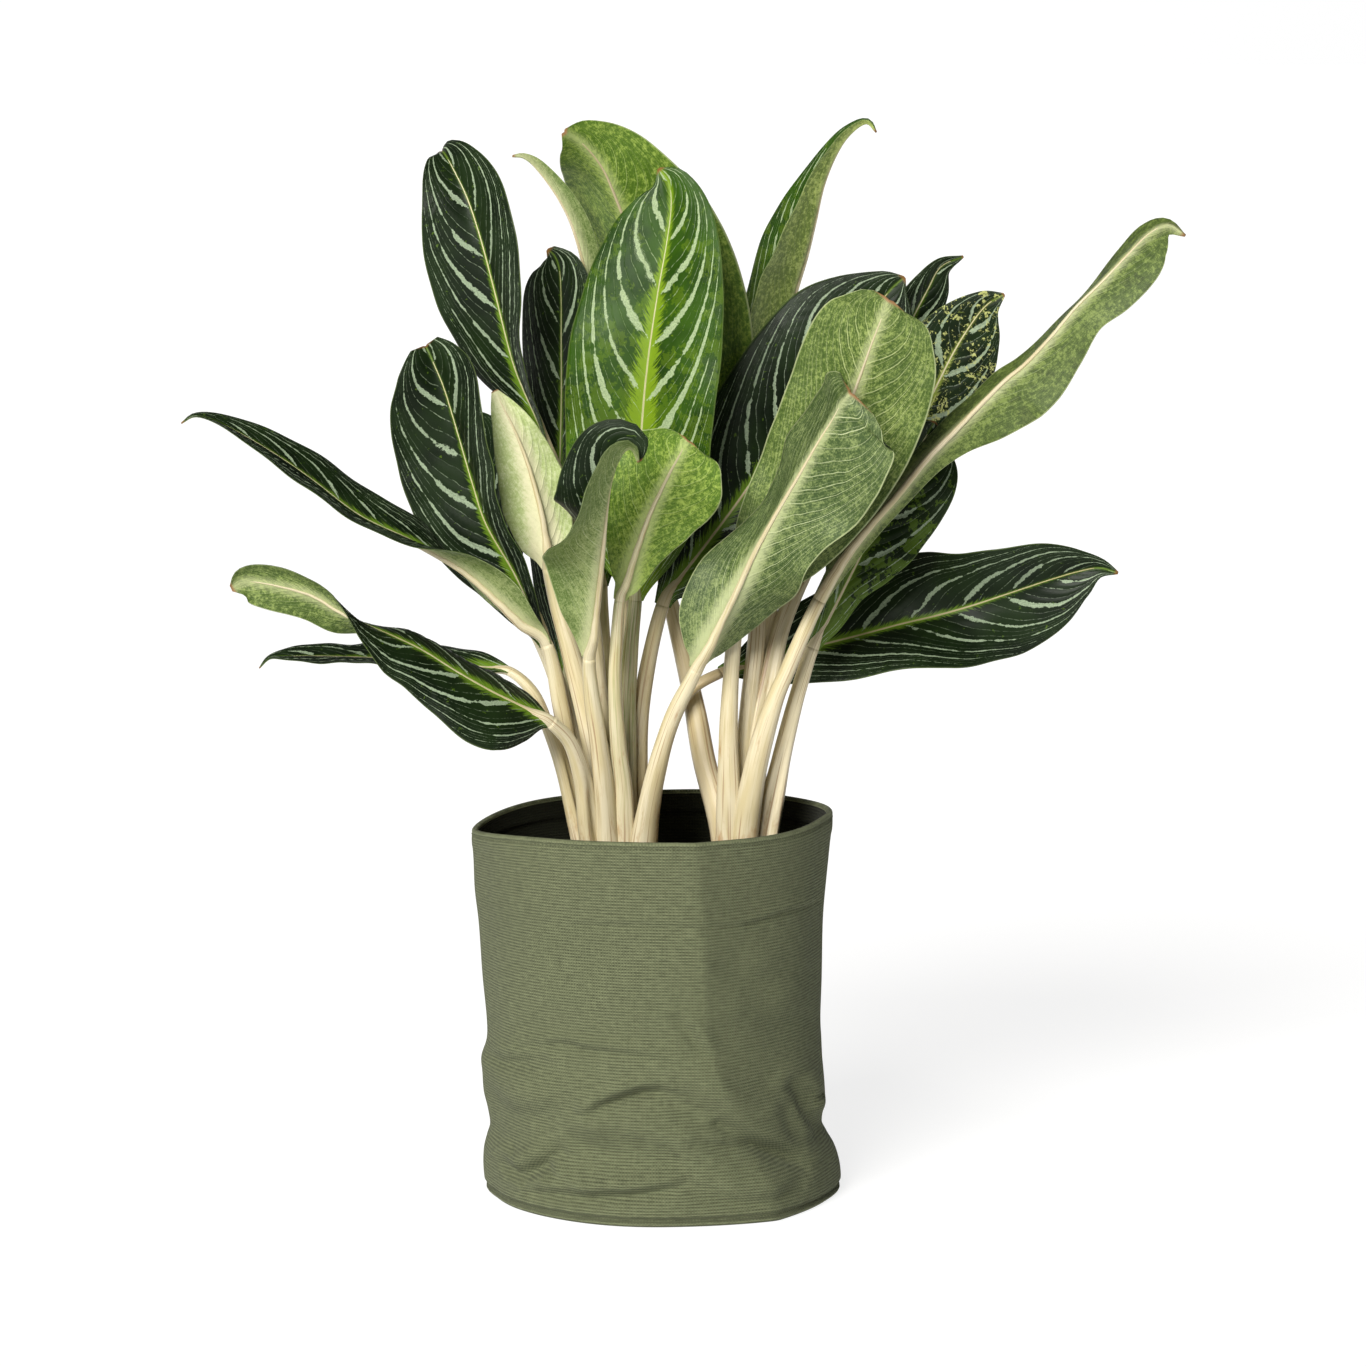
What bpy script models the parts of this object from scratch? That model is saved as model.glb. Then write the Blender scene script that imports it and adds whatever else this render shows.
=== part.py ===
"""A potted Chinese evergreen: blades, stalks, soil and nursery pot, in a sewn canvas planter bag.

Metres, +Z up, front towards -Y. The origin is on the floor, under the middle of the bag's mouth.
Leaves are listed in millimetres and degrees.
"""
import math
from dataclasses import dataclass

import bmesh
import bpy
import numpy as np

MM = 0.001
GAP = 0.0003

# The bag: outer radius and sideways slump of its wall at some heights, in mm.
BAG_HEIGHT = 0.225
BAG_CLOTH = 0.0024
BAG_SECTIONS = [
    # height, radius, middle x
    (0, 103.0, 6.5),
    (10, 105.5, 5.5),
    (24, 104.0, 3.6),
    (42, 98.6, 1.4),
    (62, 101.0, 0.6),
    (82, 101.0, -0.6),
    (106, 98.8, 0.4),
    (134, 100.8, -0.2),
    (172, 102.6, 0.0),
    (200, 104.6, 0.0),
    (225, 106.2, 0.0),
]
BAG_MOUTH_DIP = 0.008
# How fast the dip fades downwards and round the mouth: powers of the height's share and of a cosine.
DIP_FADE_DOWN = 4
DIP_FADE_ROUND = 3
BASE_MIDDLE_X = 0.0065
BASE_THICKNESS = 0.0026
BAG_SIDES = 40

# The nursery pot and its soil.
POT_TOP_RADIUS = 0.0925
POT_FLOOR_RADIUS = 0.069
POT_HEIGHT = 0.180
POT_WALL = 0.0018
POT_RIM_DROP = 0.014
POT_RIM_STEP = 0.0022
DRAIN_HOLES = 6
DRAIN_RADIUS = 0.005
DRAIN_RING_RADIUS = 0.045
DRAIN_SIDES = 12
SOIL_TOP = 0.172
SOIL_EDGE_WIDTH = 0.004
SOIL_EDGE_DROP = 0.003
SOIL_BELOW_STEP = 0.001
POT_SIDES = 36

# The crowns, from which the stalks of each clump grow: middle x, middle y, half width, half depth.
CROWNS = {
    "left": (-0.018, 0.001, 0.027, 0.020),
    "right": (0.051, 0.004, 0.020, 0.018),
}
CROWN_DEPTH = 0.040
CROWN_RISE = 0.010
CROWN_SIDES = 24
CROWN_SHARP_ANGLE = 50
# How far a cutter stands out beyond what it cuts.
CUTTER_EXCESS = 0.02
STALK_START = 175.0

# Stalk radii in mm at the crown, half way and at the collar, for a stalk of thickness 1.
STALK_RADII = (8.0, 5.6, 4.0)
STALK_RADII_AT = (0, 0.55, 1)
STALK_SECTIONS = 8
COLLAR_GAP = 0.0007

# The blades.
BLADE_THICKNESS = 0.0008
BLADE_ROWS = (0, 0.05, 0.12, 0.21, 0.31, 0.42, 0.53, 0.64, 0.74, 0.83, 0.90, 0.955, 1.0)
BLADE_COLUMNS = (-1, -0.68, -0.34, 0, 0.34, 0.68, 1)
PATH_STEPS = 16

# Leaf points are measured in the plane y = 0 as the front viewpoint sees it, in mm. Their own y then
# moves them along the line of sight. Rolls are counted from the direction towards that viewpoint.
VIEWPOINT = np.array((18.0, -2970.0, 673.0))
TOWARDS_VIEWER = np.array((0.0, -0.992, 0.124))


@dataclass
class Leaf:
    """One leaf. Its stalk is a list of (x, y, z) from the crown up, its blade one of (x, y, z, roll,
    half width) from collar to tip.

    top is 1 where the blade's top faces the viewer at roll 0, and -1 where its underside does. A
    positive roll brings the right half towards the viewer. fold is the angle of each half against
    the flat, curl how far each half bends back towards its margin.
    """

    name: str
    clump: str
    stalk: list
    blade: list
    top: int = 1
    fold: float = 20.0
    curl: float = 22.0
    wave: float = 1.5
    waves: float = 2.5
    phase: float = 0.0
    thick: float = 1.0
    colour: str = "leaf_dark"


LEAVES = [
    # far left, long and twisted
    Leaf("leaf_01", "left",
         [(-34, 4), (-41, 6, 210), (-47, 6, 250), (-54, 4, 290)],
         [(-62, 0, 326, -112, 4.5), (-75, -3, 338, -116, 13), (-91, -6, 353, -118, 20),
          (-112, -9, 371, -104, 22), (-140, -11, 387, -72, 22), (-171, -11, 402, -62, 23),
          (-200, -10, 424, -62, 23), (-225, -9, 441, -64, 17), (-250, -8, 455, -66, 10),
          (-266, -8, 460, -66, 4), (-275, -8, 456, -66, 0.8)],
         fold=26),
    # far left, low, its tip turned over
    Leaf("leaf_02", "left",
         [(-30, -10), (-37, -14, 212), (-41, -20, 245), (-48, -29, 267)],
         [(-60, -37, 280, -48, 4.5), (-70, -40, 286, -50, 22), (-82, -43, 292, -54, 35),
          (-96, -46, 299, -54, 39), (-115, -48, 310, -56, 34), (-134, -50, 322, -58, 30),
          (-150, -51, 330, -62, 28), (-168, -52, 338, -84, 22), (-184, -53, 346, -122, 17),
          (-200, -54, 355, -150, 15), (-222, -56, 361, -158, 15), (-238, -57, 363, -158, 12),
          (-247, -58, 359, -158, 2)],
         fold=3, curl=50),
    Leaf("leaf_03", "left",
         [(-36, -2), (-43, -2, 210), (-53, -1, 253), (-61, 0, 276), (-70, 3, 297)],
         [(-84, 7, 310, -62, 3.6), (-103, 10, 313, -62, 15), (-130, 13, 316, -66, 20),
          (-160, 16, 318, -68, 20), (-190, 18, 319, -70, 17), (-212, 19, 319, -70, 11),
          (-224, 20, 318, -70, 5), (-231, 20, 312, -70, 0.8)],
         thick=0.8),
    # left, upright and dark
    Leaf("leaf_04", "left",
         [(-28, 7), (-36, 10, 215), (-44, 12, 255), (-53, 12, 295)],
         [(-62, 10, 325, 46, 4.5), (-71, 10, 346, 46, 16), (-81, 10, 368, 46, 27),
          (-97, 11, 396, 44, 38), (-105, 13, 420, 43, 41), (-113, 14, 448, 40, 41),
          (-121, 16, 475, 24, 34), (-127, 18, 490, 12, 24), (-131, 20, 499, 4, 13),
          (-132, 22, 501, 0, 2)],
         fold=41),
    Leaf("leaf_05", "left",
         [(-23, 6), (-27, 9, 230), (-31, 14, 290), (-37, 19, 350)],
         [(-50, 23, 408, 60, 4.5), (-58, 23, 432, 60, 5), (-67, 22, 457, 58, 8),
          (-75, 21, 475, 55, 18), (-82, 20, 494, 52, 29), (-91, 20, 530, 42, 36),
          (-99, 22, 561, 32, 36), (-107, 28, 586, 16, 29), (-115, 37, 603, 8, 20),
          (-120, 46, 612, 4, 11), (-122, 54, 614, 0, 2)],
         fold=37),
    # dark, its right half behind the bright middle leaf
    Leaf("leaf_06", "left",
         [(-32, 9), (-38, 16, 220), (-43, 22, 255)],
         [(-49, 30, 298, 34, 4), (-51, 35, 330, 35, 12), (-53, 42, 370, 36, 22),
          (-54, 46, 420, 36, 27), (-53, 46, 470, 36, 28), (-53, 44, 505, 35, 28),
          (-53, 44, 530, 34, 26), (-54, 44, 546, 32, 18), (-57, 44, 554, 30, 8),
          (-61, 44, 557, 30, 1)],
         fold=16),
    # the bright leaf in the middle
    Leaf("leaf_07", "left",
         [(-15, 4), (-16, 4, 235), (-15, 4, 285), (-13, 5, 322)],
         [(-10, 6, 352, 10, 5), (-9, 5, 380, 14, 26), (-7.5, 4, 415, 18, 42),
          (-6, 4, 455, 20, 47), (-2.5, 5, 492, 20, 48), (3, 8, 530, 22, 45),
          (8, 11, 558, 22, 38), (11, 14, 580, 20, 27), (10, 17, 595, 14, 14), (4, 20, 604, 8, 1)],
         colour="leaf_bright"),
    # large and pale behind it, its tip towards the viewer
    Leaf("leaf_08", "right",
         [(46, 9), (42, 11, 214), (31, 23, 255), (24, 37, 293), (13, 45, 342), (7, 50, 366)],
         [(6, 54, 394, 20, 5), (9, 57, 425, 24, 28), (12, 59, 462, 28, 44), (10, 60, 500, 30, 51),
          (2, 59, 530, 30, 53), (-8, 56, 555, 30, 52), (-18, 49, 580, 28, 46),
          (-28, 38, 603, 22, 32), (-40, 26, 618, 14, 17), (-51, 16, 625, 10, 2)],
         top=-1, fold=40, colour="leaf_pale"),
    # young, still rolled
    Leaf("leaf_09", "left",
         [(-21, 12), (-20, 20, 250), (-18, 30, 320), (-17, 38, 376)],
         [(-17, 44, 420, 40, 3), (-20, 48, 450, 40, 8), (-26, 50, 490, 42, 12),
          (-35, 50, 530, 44, 12), (-44, 50, 565, 46, 11), (-53, 48, 585, 50, 9),
          (-66, 46, 603, 50, 6), (-74, 44, 610, 50, 3), (-81, 43, 611, 50, 0.8)],
         top=-1, fold=74, thick=0.7, colour="leaf_pale"),
    # upper right, folded along its midrib
    Leaf("leaf_10", "right",
         [(51, 8), (52, 10, 230), (57, 14, 290), (61, 20, 331), (62, 46, 376)],
         [(61, 86, 425, -97, 5), (65, 95, 455, -97, 22), (72, 101, 490, -97, 35),
          (82, 104, 530, -97, 40), (89, 102, 553, -97, 38), (94, 98, 573, -98, 30),
          (99, 93, 594, -101, 19), (106, 87, 611, -101, 12), (114, 82, 623, -100, 8),
          (124, 77, 630, -100, 4), (130, 72, 625, -100, 0.8)],
         top=-1, fold=56, colour="leaf_pale"),
    # large and dark, right of the middle
    Leaf("leaf_11", "left",
         [(-11, 12), (-10, 12, 245), (-5, 13, 300)],
         [(6, 14, 349, 0, 5), (17, 16, 366, 0, 16), (30, 19, 383, 0, 31), (53, 26, 414, 0, 43),
          (75, 34, 447, 0, 46), (98, 42, 480, 0, 47), (117, 47, 506, 0, 43), (131, 49, 524, 0, 29),
          (140, 49, 535, 0, 14), (147, 48, 541, 0, 1)],
         fold=14),
    # pale underside, upper right
    Leaf("leaf_12", "right",
         [(45, -3), (45, -4, 230), (45, -5, 285)],
         [(50, -8, 345, 8, 5), (60, -12, 362, 8, 16), (73, -18, 385, 10, 30),
          (95, -29, 423, 18, 41), (110, -38, 453, 20, 44), (121, -45, 482, 18, 44),
          (128, -50, 502, 16, 40), (133, -54, 515, 16, 32), (136, -57, 524, 14, 20),
          (138, -59, 528, 10, 3)],
         top=-1, fold=24, colour="leaf_pale"),
    # pale underside, front right
    Leaf("leaf_13", "left",
         [(-6, -10), (-5, -14, 210), (1, -18, 245), (11, -22, 280)],
         [(26, -28, 311, -30, 5), (31, -31, 321, -28, 14), (38, -34, 335, -22, 25),
          (49, -41, 356, 0, 30), (61, -50, 380, 38, 33), (73, -60, 402, 50, 36),
          (85, -70, 423, 42, 44), (97, -79, 444, 46, 48), (105, -85, 457, 46, 46),
          (110, -89, 466, 44, 40), (114, -91, 471, 42, 28), (116, -92, 474, 40, 3)],
         top=-1, fold=38, colour="leaf_pale"),
    Leaf("leaf_14", "right",
         [(57, 6), (60, 8, 250), (68, 15, 300), (77, 27, 340), (98, 42, 385)],
         [(122, 50, 415, 0, 4.5), (134, 52, 428, 0, 14), (147, 53, 444, -2, 24),
          (162, 52, 470, -6, 30), (175, 50, 496, -8, 28), (186, 47, 514, -8, 20),
          (195, 44, 525, -4, 10), (205, 42, 531, 0, 1)],
         fold=14),
    # small and dark, behind
    Leaf("leaf_15", "right",
         [(53, 14), (56, 18, 250), (62, 21, 310), (73, 34, 362), (90, 48, 410)],
         [(108, 58, 442, -30, 4), (120, 62, 462, -30, 14), (134, 66, 486, -30, 20),
          (149, 68, 512, -30, 20), (160, 68, 533, -30, 14), (168, 67, 547, -30, 7),
          (181, 64, 553, -30, 0.8)],
         thick=0.8),
    # long, to the upper right
    Leaf("leaf_16", "right",
         [(53, -6), (55, -8, 215), (61, -10, 254), (71, -12, 290), (80, -13, 312), (89, -14, 333)],
         [(98, -15, 352, 0, 5), (113, -17, 377, 0, 8), (127, -19, 395, 0, 9),
          (143, -21, 413, 0, 10), (160, -23, 434, 2, 12), (175, -24, 449, 12, 15),
          (190, -25, 464, 32, 23), (206, -26, 480, 42, 29), (218, -27, 490, 44, 28),
          (232, -28, 505, 44, 23), (247, -29, 523, 44, 19), (262, -29, 538, 42, 22),
          (277, -30, 554, 38, 22), (289, -32, 566, 30, 16), (300, -35, 571, 22, 7),
          (310, -38, 565, 20, 0.8)],
         top=-1, fold=50, colour="leaf_pale"),
    # low on the right, dark, behind the stalks
    Leaf("leaf_17", "left",
         [(-4, 9), (-2, 16, 220), (7, 20, 270), (21, 22, 297)],
         [(40, 25, 309, 20, 4), (52, 33, 312, 20, 10), (67, 40, 316, 20, 19),
          (93, 47, 324, 22, 28), (120, 50, 331, 28, 36), (146, 50, 338, 32, 42),
          (167, 49, 343, 18, 39), (188, 47, 349, -8, 36), (209, 45, 356, -26, 37),
          (233, 43, 364, -22, 29), (250, 42, 369, -14, 17), (262, 41, 371, -8, 7),
          (273, 40, 368, 0, 0.8)],
         fold=30, thick=0.8),
    # lime green at its base, between the two long right leaves
    Leaf("leaf_18", "right",
         [(61, 0), (67, 2, 215), (73, 3, 245), (79, 4, 272), (86, 4, 299)],
         [(94, 4, 324, -10, 4.5), (103, 6, 340, -10, 9), (112, 8, 358, -10, 13),
          (120, 11, 374, -10, 22), (129, 14, 392, -10, 29), (145, 20, 420, -10, 32),
          (155, 24, 440, -10, 27), (161, 26, 450, -10, 16), (165, 27, 457, -10, 1)],
         colour="leaf_bright"),
    # small, in front of the middle
    Leaf("leaf_19", "left",
         [(-17, -9), (-17, -13, 234), (-20, -18, 265), (-22, -24, 300), (-21, -28, 327)],
         [(-19, -32, 352, 0, 4), (-15, -35, 362, 0, 9), (-10, -39, 379, -8, 18),
          (-2, -43, 401, -2, 29), (5, -48, 416, 4, 34), (11, -52, 428, 6, 33),
          (16, -55, 437, 6, 27), (19, -57, 443, 6, 18), (21, -58, 446, 6, 3)],
         top=-1, fold=28, thick=0.8, colour="leaf_bright"),
    # small, left of it, folded over itself
    Leaf("leaf_20", "left",
         [(-24, -9), (-27, -15, 230), (-32, -22, 270), (-36, -28, 298)],
         [(-37, -34, 318, -46, 4.5), (-34, -46, 342, -50, 20), (-31, -62, 368, -54, 32),
          (-29, -76, 390, -84, 36), (-27, -88, 408, -112, 31), (-24, -97, 424, -122, 29),
          (-18, -103, 438, -126, 25), (-12, -105, 441, -128, 13), (-8, -105, 433, -128, 2)],
         top=-1, fold=70, colour="leaf_pale"),
    # pale with a wide midrib, left of the middle
    Leaf("leaf_21", "left",
         [(-25, 0), (-27, 0, 235), (-36, 0, 275), (-47, 3, 318), (-55, 6, 347)],
         [(-60, 4, 371, -6, 5), (-62, 2, 384, -12, 15), (-65, 2, 402, -20, 21),
          (-70, 4, 422, -22, 21), (-75, 6, 438, -18, 18), (-81, 8, 453, -14, 13),
          (-87, 10, 465, -10, 8), (-92, 12, 475, -8, 2)],
         top=-1, fold=20, thick=1.15, colour="leaf_pale"),
    # leaning back, behind the others
    Leaf("leaf_22", "left",
         [(-22, 9), (-25, 28, 240), (-28, 54, 310)],
         [(-30, 80, 360, 0, 4.5), (-28, 106, 400, 0, 27), (-24, 136, 436, 0, 37),
          (-20, 164, 458, 0, 30), (-16, 194, 466, 0, 1)]),
    Leaf("leaf_23", "right",
         [(55, 13), (57, 30, 235), (59, 52, 288), (63, 74, 332)],
         [(70, 94, 366, 0, 4.5), (80, 118, 398, 0, 27), (93, 146, 426, 0, 37),
          (107, 172, 443, 0, 30), (121, 200, 446, 0, 1)]),
    Leaf("leaf_24", "left",
         [(-28, 7), (-40, 32, 245), (-56, 58, 305), (-70, 76, 338)],
         [(-80, 92, 362, 0, 4.5), (-95, 118, 396, 0, 26), (-108, 146, 425, 0, 35),
          (-117, 174, 446, 0, 28), (-123, 202, 456, 0, 1)]),
]

COLOURS = {
    # base colour, roughness
    "canvas": ((0.105, 0.125, 0.068), 0.95),
    "pot_plastic": ((0.030, 0.030, 0.032), 0.55),
    "potting_soil": ((0.055, 0.035, 0.022), 1.0),
    "stalk": ((0.78, 0.69, 0.45), 0.50),
    "leaf_dark": ((0.025, 0.065, 0.018), 0.35),
    "leaf_bright": ((0.060, 0.170, 0.020), 0.35),
    "leaf_pale": ((0.260, 0.380, 0.120), 0.55),
}


def material(name):
    """The Principled material of one colour name, made once."""
    found = bpy.data.materials.get(name)
    if found:
        return found
    colour, roughness = COLOURS[name]
    made = bpy.data.materials.new(name)
    made.use_nodes = True
    shader = made.node_tree.nodes["Principled BSDF"]
    shader.inputs["Base Color"].default_value = (*colour, 1)
    shader.inputs["Roughness"].default_value = roughness
    shader.inputs["Metallic"].default_value = 0
    return made


def add_object(name, data, collection, colour=None):
    """A new object for a mesh or curve, in a collection and with its material."""
    made = bpy.data.objects.new(name, data)
    collection.objects.link(made)
    if colour:
        made.data.materials.append(material(colour))
    return made


def mesh_from(name, points, faces):
    mesh = bpy.data.meshes.new(name)
    mesh.from_pydata([tuple(p) for p in points], [], faces)
    mesh.validate()
    mesh.shade_smooth()
    return mesh


def turned(name, profile, sides, collection, colour):
    """A body turned round Z from a closed profile of (radius, height) points, top to bottom."""
    bm = bmesh.new()
    ring = [bm.verts.new((r, 0, z)) for r, z in profile]
    for a, b in zip(ring, ring[1:]):
        bm.edges.new((a, b))
    mesh = bpy.data.meshes.new(name)
    bm.to_mesh(mesh)
    bm.free()
    made = add_object(name, mesh, collection, colour)
    screw = made.modifiers.new("turn", "SCREW")
    screw.steps = sides
    screw.render_steps = sides
    screw.use_merge_vertices = True
    screw.merge_threshold = 0.00001
    return made


def applied(made):
    """Replaces an object's data by its evaluated mesh, so that no modifier or curve is left."""
    graph = bpy.context.evaluated_depsgraph_get()
    mesh = bpy.data.meshes.new_from_object(made.evaluated_get(graph), depsgraph=graph)
    name = made.name
    matrix = made.matrix_world.copy()
    collection = made.users_collection[0]
    bpy.data.objects.remove(made)
    mesh.name = name
    result = bpy.data.objects.new(name, mesh)
    result.matrix_world = matrix
    collection.objects.link(result)
    return result


def cut(target, cutter, hidden):
    """Subtracts a cutter, which stays in the collection of cutters."""
    hidden.objects.link(cutter)
    for collection in list(cutter.users_collection):
        if collection is not hidden:
            collection.objects.unlink(cutter)
    cutter.hide_render = True
    cutter.display_type = "WIRE"
    boolean = target.modifiers.new("cut", "BOOLEAN")
    boolean.operation = "DIFFERENCE"
    boolean.object = cutter


def cylinder(name, radius, depth, location, sides):
    bpy.ops.mesh.primitive_cylinder_add(vertices=sides, radius=radius, depth=depth, location=location)
    made = bpy.context.object
    made.name = name
    made.data.name = name
    return made


def smooth_path(points):
    """Dense rows on a smooth curve through rows of numbers (Catmull-Rom)."""
    p = np.asarray(points, float)
    p = np.vstack([2 * p[0] - p[1], p, 2 * p[-1] - p[-2]])
    t = np.linspace(0, 1, PATH_STEPS, endpoint=False)[:, None]
    rows = [
        0.5 * (2 * b + (c - a) * t + (2 * a - 5 * b + 4 * c - d) * t**2 + (3 * b - a - 3 * c + d) * t**3)
        for a, b, c, d in zip(p, p[1:], p[2:], p[3:])
    ]
    return np.vstack([*rows, p[-2:-1]])


def resampled(rows, shares):
    """Rows at the given shares of a path's length, and the path's directions there."""
    steps = np.linalg.norm(np.diff(rows[:, :3], axis=0), axis=1)
    length = np.concatenate([[0], np.cumsum(steps)])
    ways = np.gradient(rows[:, :3], length, axis=0)
    at = np.asarray(shares) * length[-1]
    found = np.stack([np.interp(at, length, column) for column in rows.T], axis=1)
    way = np.stack([np.interp(at, length, column) for column in ways.T], axis=1)
    return found, way / np.linalg.norm(way, axis=1, keepdims=True), length[-1]


def placed(x, y, z):
    """A measured point in metres: x and z as seen in the plane y = 0, moved to its own y."""
    scale = 1 + y / -VIEWPOINT[1]
    true_x = VIEWPOINT[0] + (x - VIEWPOINT[0]) * scale
    true_z = VIEWPOINT[2] + (z - VIEWPOINT[2]) * scale
    return true_x * MM, y * MM, true_z * MM


def leaf_path(leaf):
    """The dense rows (x, y, z, roll, half width) of a leaf's stalk and of its blade."""
    _, _, _, roll, half = leaf.blade[0]
    start = (*leaf.stalk[0], STALK_START)
    rows = [(*placed(*p), roll, half) for p in [start, *leaf.stalk[1:]]]
    rows += [(*placed(*p[:3]), *p[3:]) for p in leaf.blade]
    dense = smooth_path(rows)
    collar = len(leaf.stalk) * PATH_STEPS
    return dense[: collar + 1], dense[collar:]


def blade_points(leaf, shares, columns):
    """The blade's middle surface as an array (row, column, xyz); columns run from -1 to 1."""
    rows, way, _ = resampled(leaf_path(leaf)[1], shares)
    facing = TOWARDS_VIEWER - (way @ TOWARDS_VIEWER)[:, None] * way
    facing /= np.linalg.norm(facing, axis=1, keepdims=True)
    side = np.cross(way, facing)
    width = rows[:, 4:5] * MM
    u = np.abs(columns)[None, :]
    hand = np.sign(columns)[None, :]
    start = leaf.top * math.radians(leaf.fold) + hand * np.radians(rows[:, 3])[:, None]
    bend = -leaf.top * math.radians(leaf.curl)
    end = start + bend * u
    across = hand * width * (np.sin(end) - np.sin(start)) / bend
    out = width * (np.cos(start) - np.cos(end)) / bend
    share = np.asarray(shares)[:, None]
    ripple = np.sin(2 * math.pi * (leaf.waves * share + leaf.phase) + hand)
    lift = leaf.wave * MM * u**2 * np.sin(math.pi * share) * ripple
    across = across - hand * lift * np.sin(end)
    out = out + lift * np.cos(end)
    return rows[:, None, :3] + across[..., None] * side[:, None] + out[..., None] * facing[:, None]


def make_blade(leaf, collection):
    """One blade: an open waved surface, split into triangles, with Solidify."""
    grid = blade_points(leaf, BLADE_ROWS, np.array(BLADE_COLUMNS, float))
    columns = len(BLADE_COLUMNS)
    faces = []
    for i in range(len(BLADE_ROWS) - 1):
        for j in range(columns - 1):
            a = i * columns + j
            b = a + columns
            if j < columns // 2:
                faces += [(a, a + 1, b), (a + 1, b + 1, b)]
            else:
                faces += [(a, a + 1, b + 1), (a, b + 1, b)]
    made = add_object(leaf.name, mesh_from(leaf.name, grid.reshape(-1, 3), faces), collection, leaf.colour)
    solid = made.modifiers.new("thickness", "SOLIDIFY")
    solid.thickness = BLADE_THICKNESS
    solid.offset = 0


def make_stalk(leaf, collection):
    """One stalk as a closed tube that tapers from the crown to just below the collar."""
    rows, _ = leaf_path(leaf)
    _, _, length = resampled(rows, [0, 1])
    shares = np.linspace(0, 1 - COLLAR_GAP / length, STALK_SECTIONS)
    points, _, _ = resampled(rows, shares)
    radii = np.interp(shares, STALK_RADII_AT, STALK_RADII) * leaf.thick * MM
    curve = bpy.data.curves.new(leaf.name + "_stalk", "CURVE")
    curve.dimensions = "3D"
    curve.bevel_depth = 1
    curve.bevel_resolution = 2
    curve.use_fill_caps = True
    spline = curve.splines.new("POLY")
    spline.points.add(len(points) - 1)
    for point, at, radius in zip(spline.points, points, radii):
        point.co = (*at[:3], 1)
        point.radius = radius
    tube = applied(add_object(leaf.name + "_stalk", curve, collection))
    bm = bmesh.new()
    bm.from_mesh(tube.data)
    bmesh.ops.remove_doubles(bm, verts=bm.verts, dist=0.00001)
    bmesh.ops.recalc_face_normals(bm, faces=bm.faces)
    bm.to_mesh(tube.data)
    bm.free()


def crown_body(name, clump, grow):
    """An elliptic cylinder round a crown, wider by the given amount, and deeper too."""
    x, y, half_width, half_depth = CROWNS[clump]
    top = SOIL_TOP + CROWN_RISE + (CUTTER_EXCESS if grow else 0)
    bottom = SOIL_TOP - CROWN_DEPTH - grow
    made = cylinder(name, 1, top - bottom, (x, y, (top + bottom) / 2), CROWN_SIDES)
    for vertex in made.data.vertices:
        vertex.co.x *= half_width + grow
        vertex.co.y *= half_depth + grow
    return made


def make_clump(clump, collection):
    """All stalks of one clump and its crown, joined in one body."""
    stalks = bpy.data.collections.new("stalks to join")
    bpy.context.scene.collection.children.link(stalks)
    for leaf in LEAVES:
        if leaf.clump == clump:
            make_stalk(leaf, stalks)
    crown = crown_body("stalks_" + clump, clump, 0)
    for old in list(crown.users_collection):
        old.objects.unlink(crown)
    collection.objects.link(crown)
    crown.data.materials.append(material("stalk"))
    join = crown.modifiers.new("join", "BOOLEAN")
    join.operation = "UNION"
    join.operand_type = "COLLECTION"
    join.collection = stalks
    joined = applied(crown)
    joined.data.shade_smooth()
    joined.data.set_sharp_from_angle(angle=math.radians(CROWN_SHARP_ANGLE))
    for tube in list(stalks.objects):
        bpy.data.objects.remove(tube)
    bpy.data.collections.remove(stalks)


def bag_section(height):
    """The bag's outer radius and its middle x, in metres, at a height in metres."""
    heights, radii, middles = np.array(BAG_SECTIONS).T * MM
    return np.interp(height, heights, radii), np.interp(height, heights, middles)


def make_bag_wall(collection):
    """The canvas wall: a loft of slumped rings, with a mouth that dips to the left, and Solidify."""
    points = []
    heights = [h * MM for h, _, _ in BAG_SECTIONS]
    angles = np.linspace(0, 2 * math.pi, BAG_SIDES, endpoint=False)
    for height in heights:
        radius, middle = bag_section(height)
        share = (height / BAG_HEIGHT) ** DIP_FADE_DOWN
        for angle in angles:
            dip = BAG_MOUTH_DIP * share * max(0, -math.cos(angle)) ** DIP_FADE_ROUND
            points.append((middle + radius * math.cos(angle), radius * math.sin(angle), height - dip))
    faces = []
    for i in range(len(heights) - 1):
        for j in range(BAG_SIDES):
            k = (j + 1) % BAG_SIDES
            low = i * BAG_SIDES
            high = low + BAG_SIDES
            faces.append((low + j, low + k, high + k, high + j))
    wall = add_object("bag_wall", mesh_from("bag_wall", points, faces), collection, "canvas")
    solid = wall.modifiers.new("cloth", "SOLIDIFY")
    solid.thickness = BAG_CLOTH
    solid.offset = -1
    solid.use_even_offset = True


def make_bag_base(collection):
    """The round base panel, which lies just inside the wall's lower edge."""
    radius = BAG_SECTIONS[0][1] * MM - BAG_CLOTH - 3 * GAP
    base = cylinder("bag_base", radius, BASE_THICKNESS, (BASE_MIDDLE_X, 0, BASE_THICKNESS / 2), BAG_SIDES)
    for old in list(base.users_collection):
        old.objects.unlink(base)
    collection.objects.link(base)
    base.data.materials.append(material("canvas"))


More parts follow.
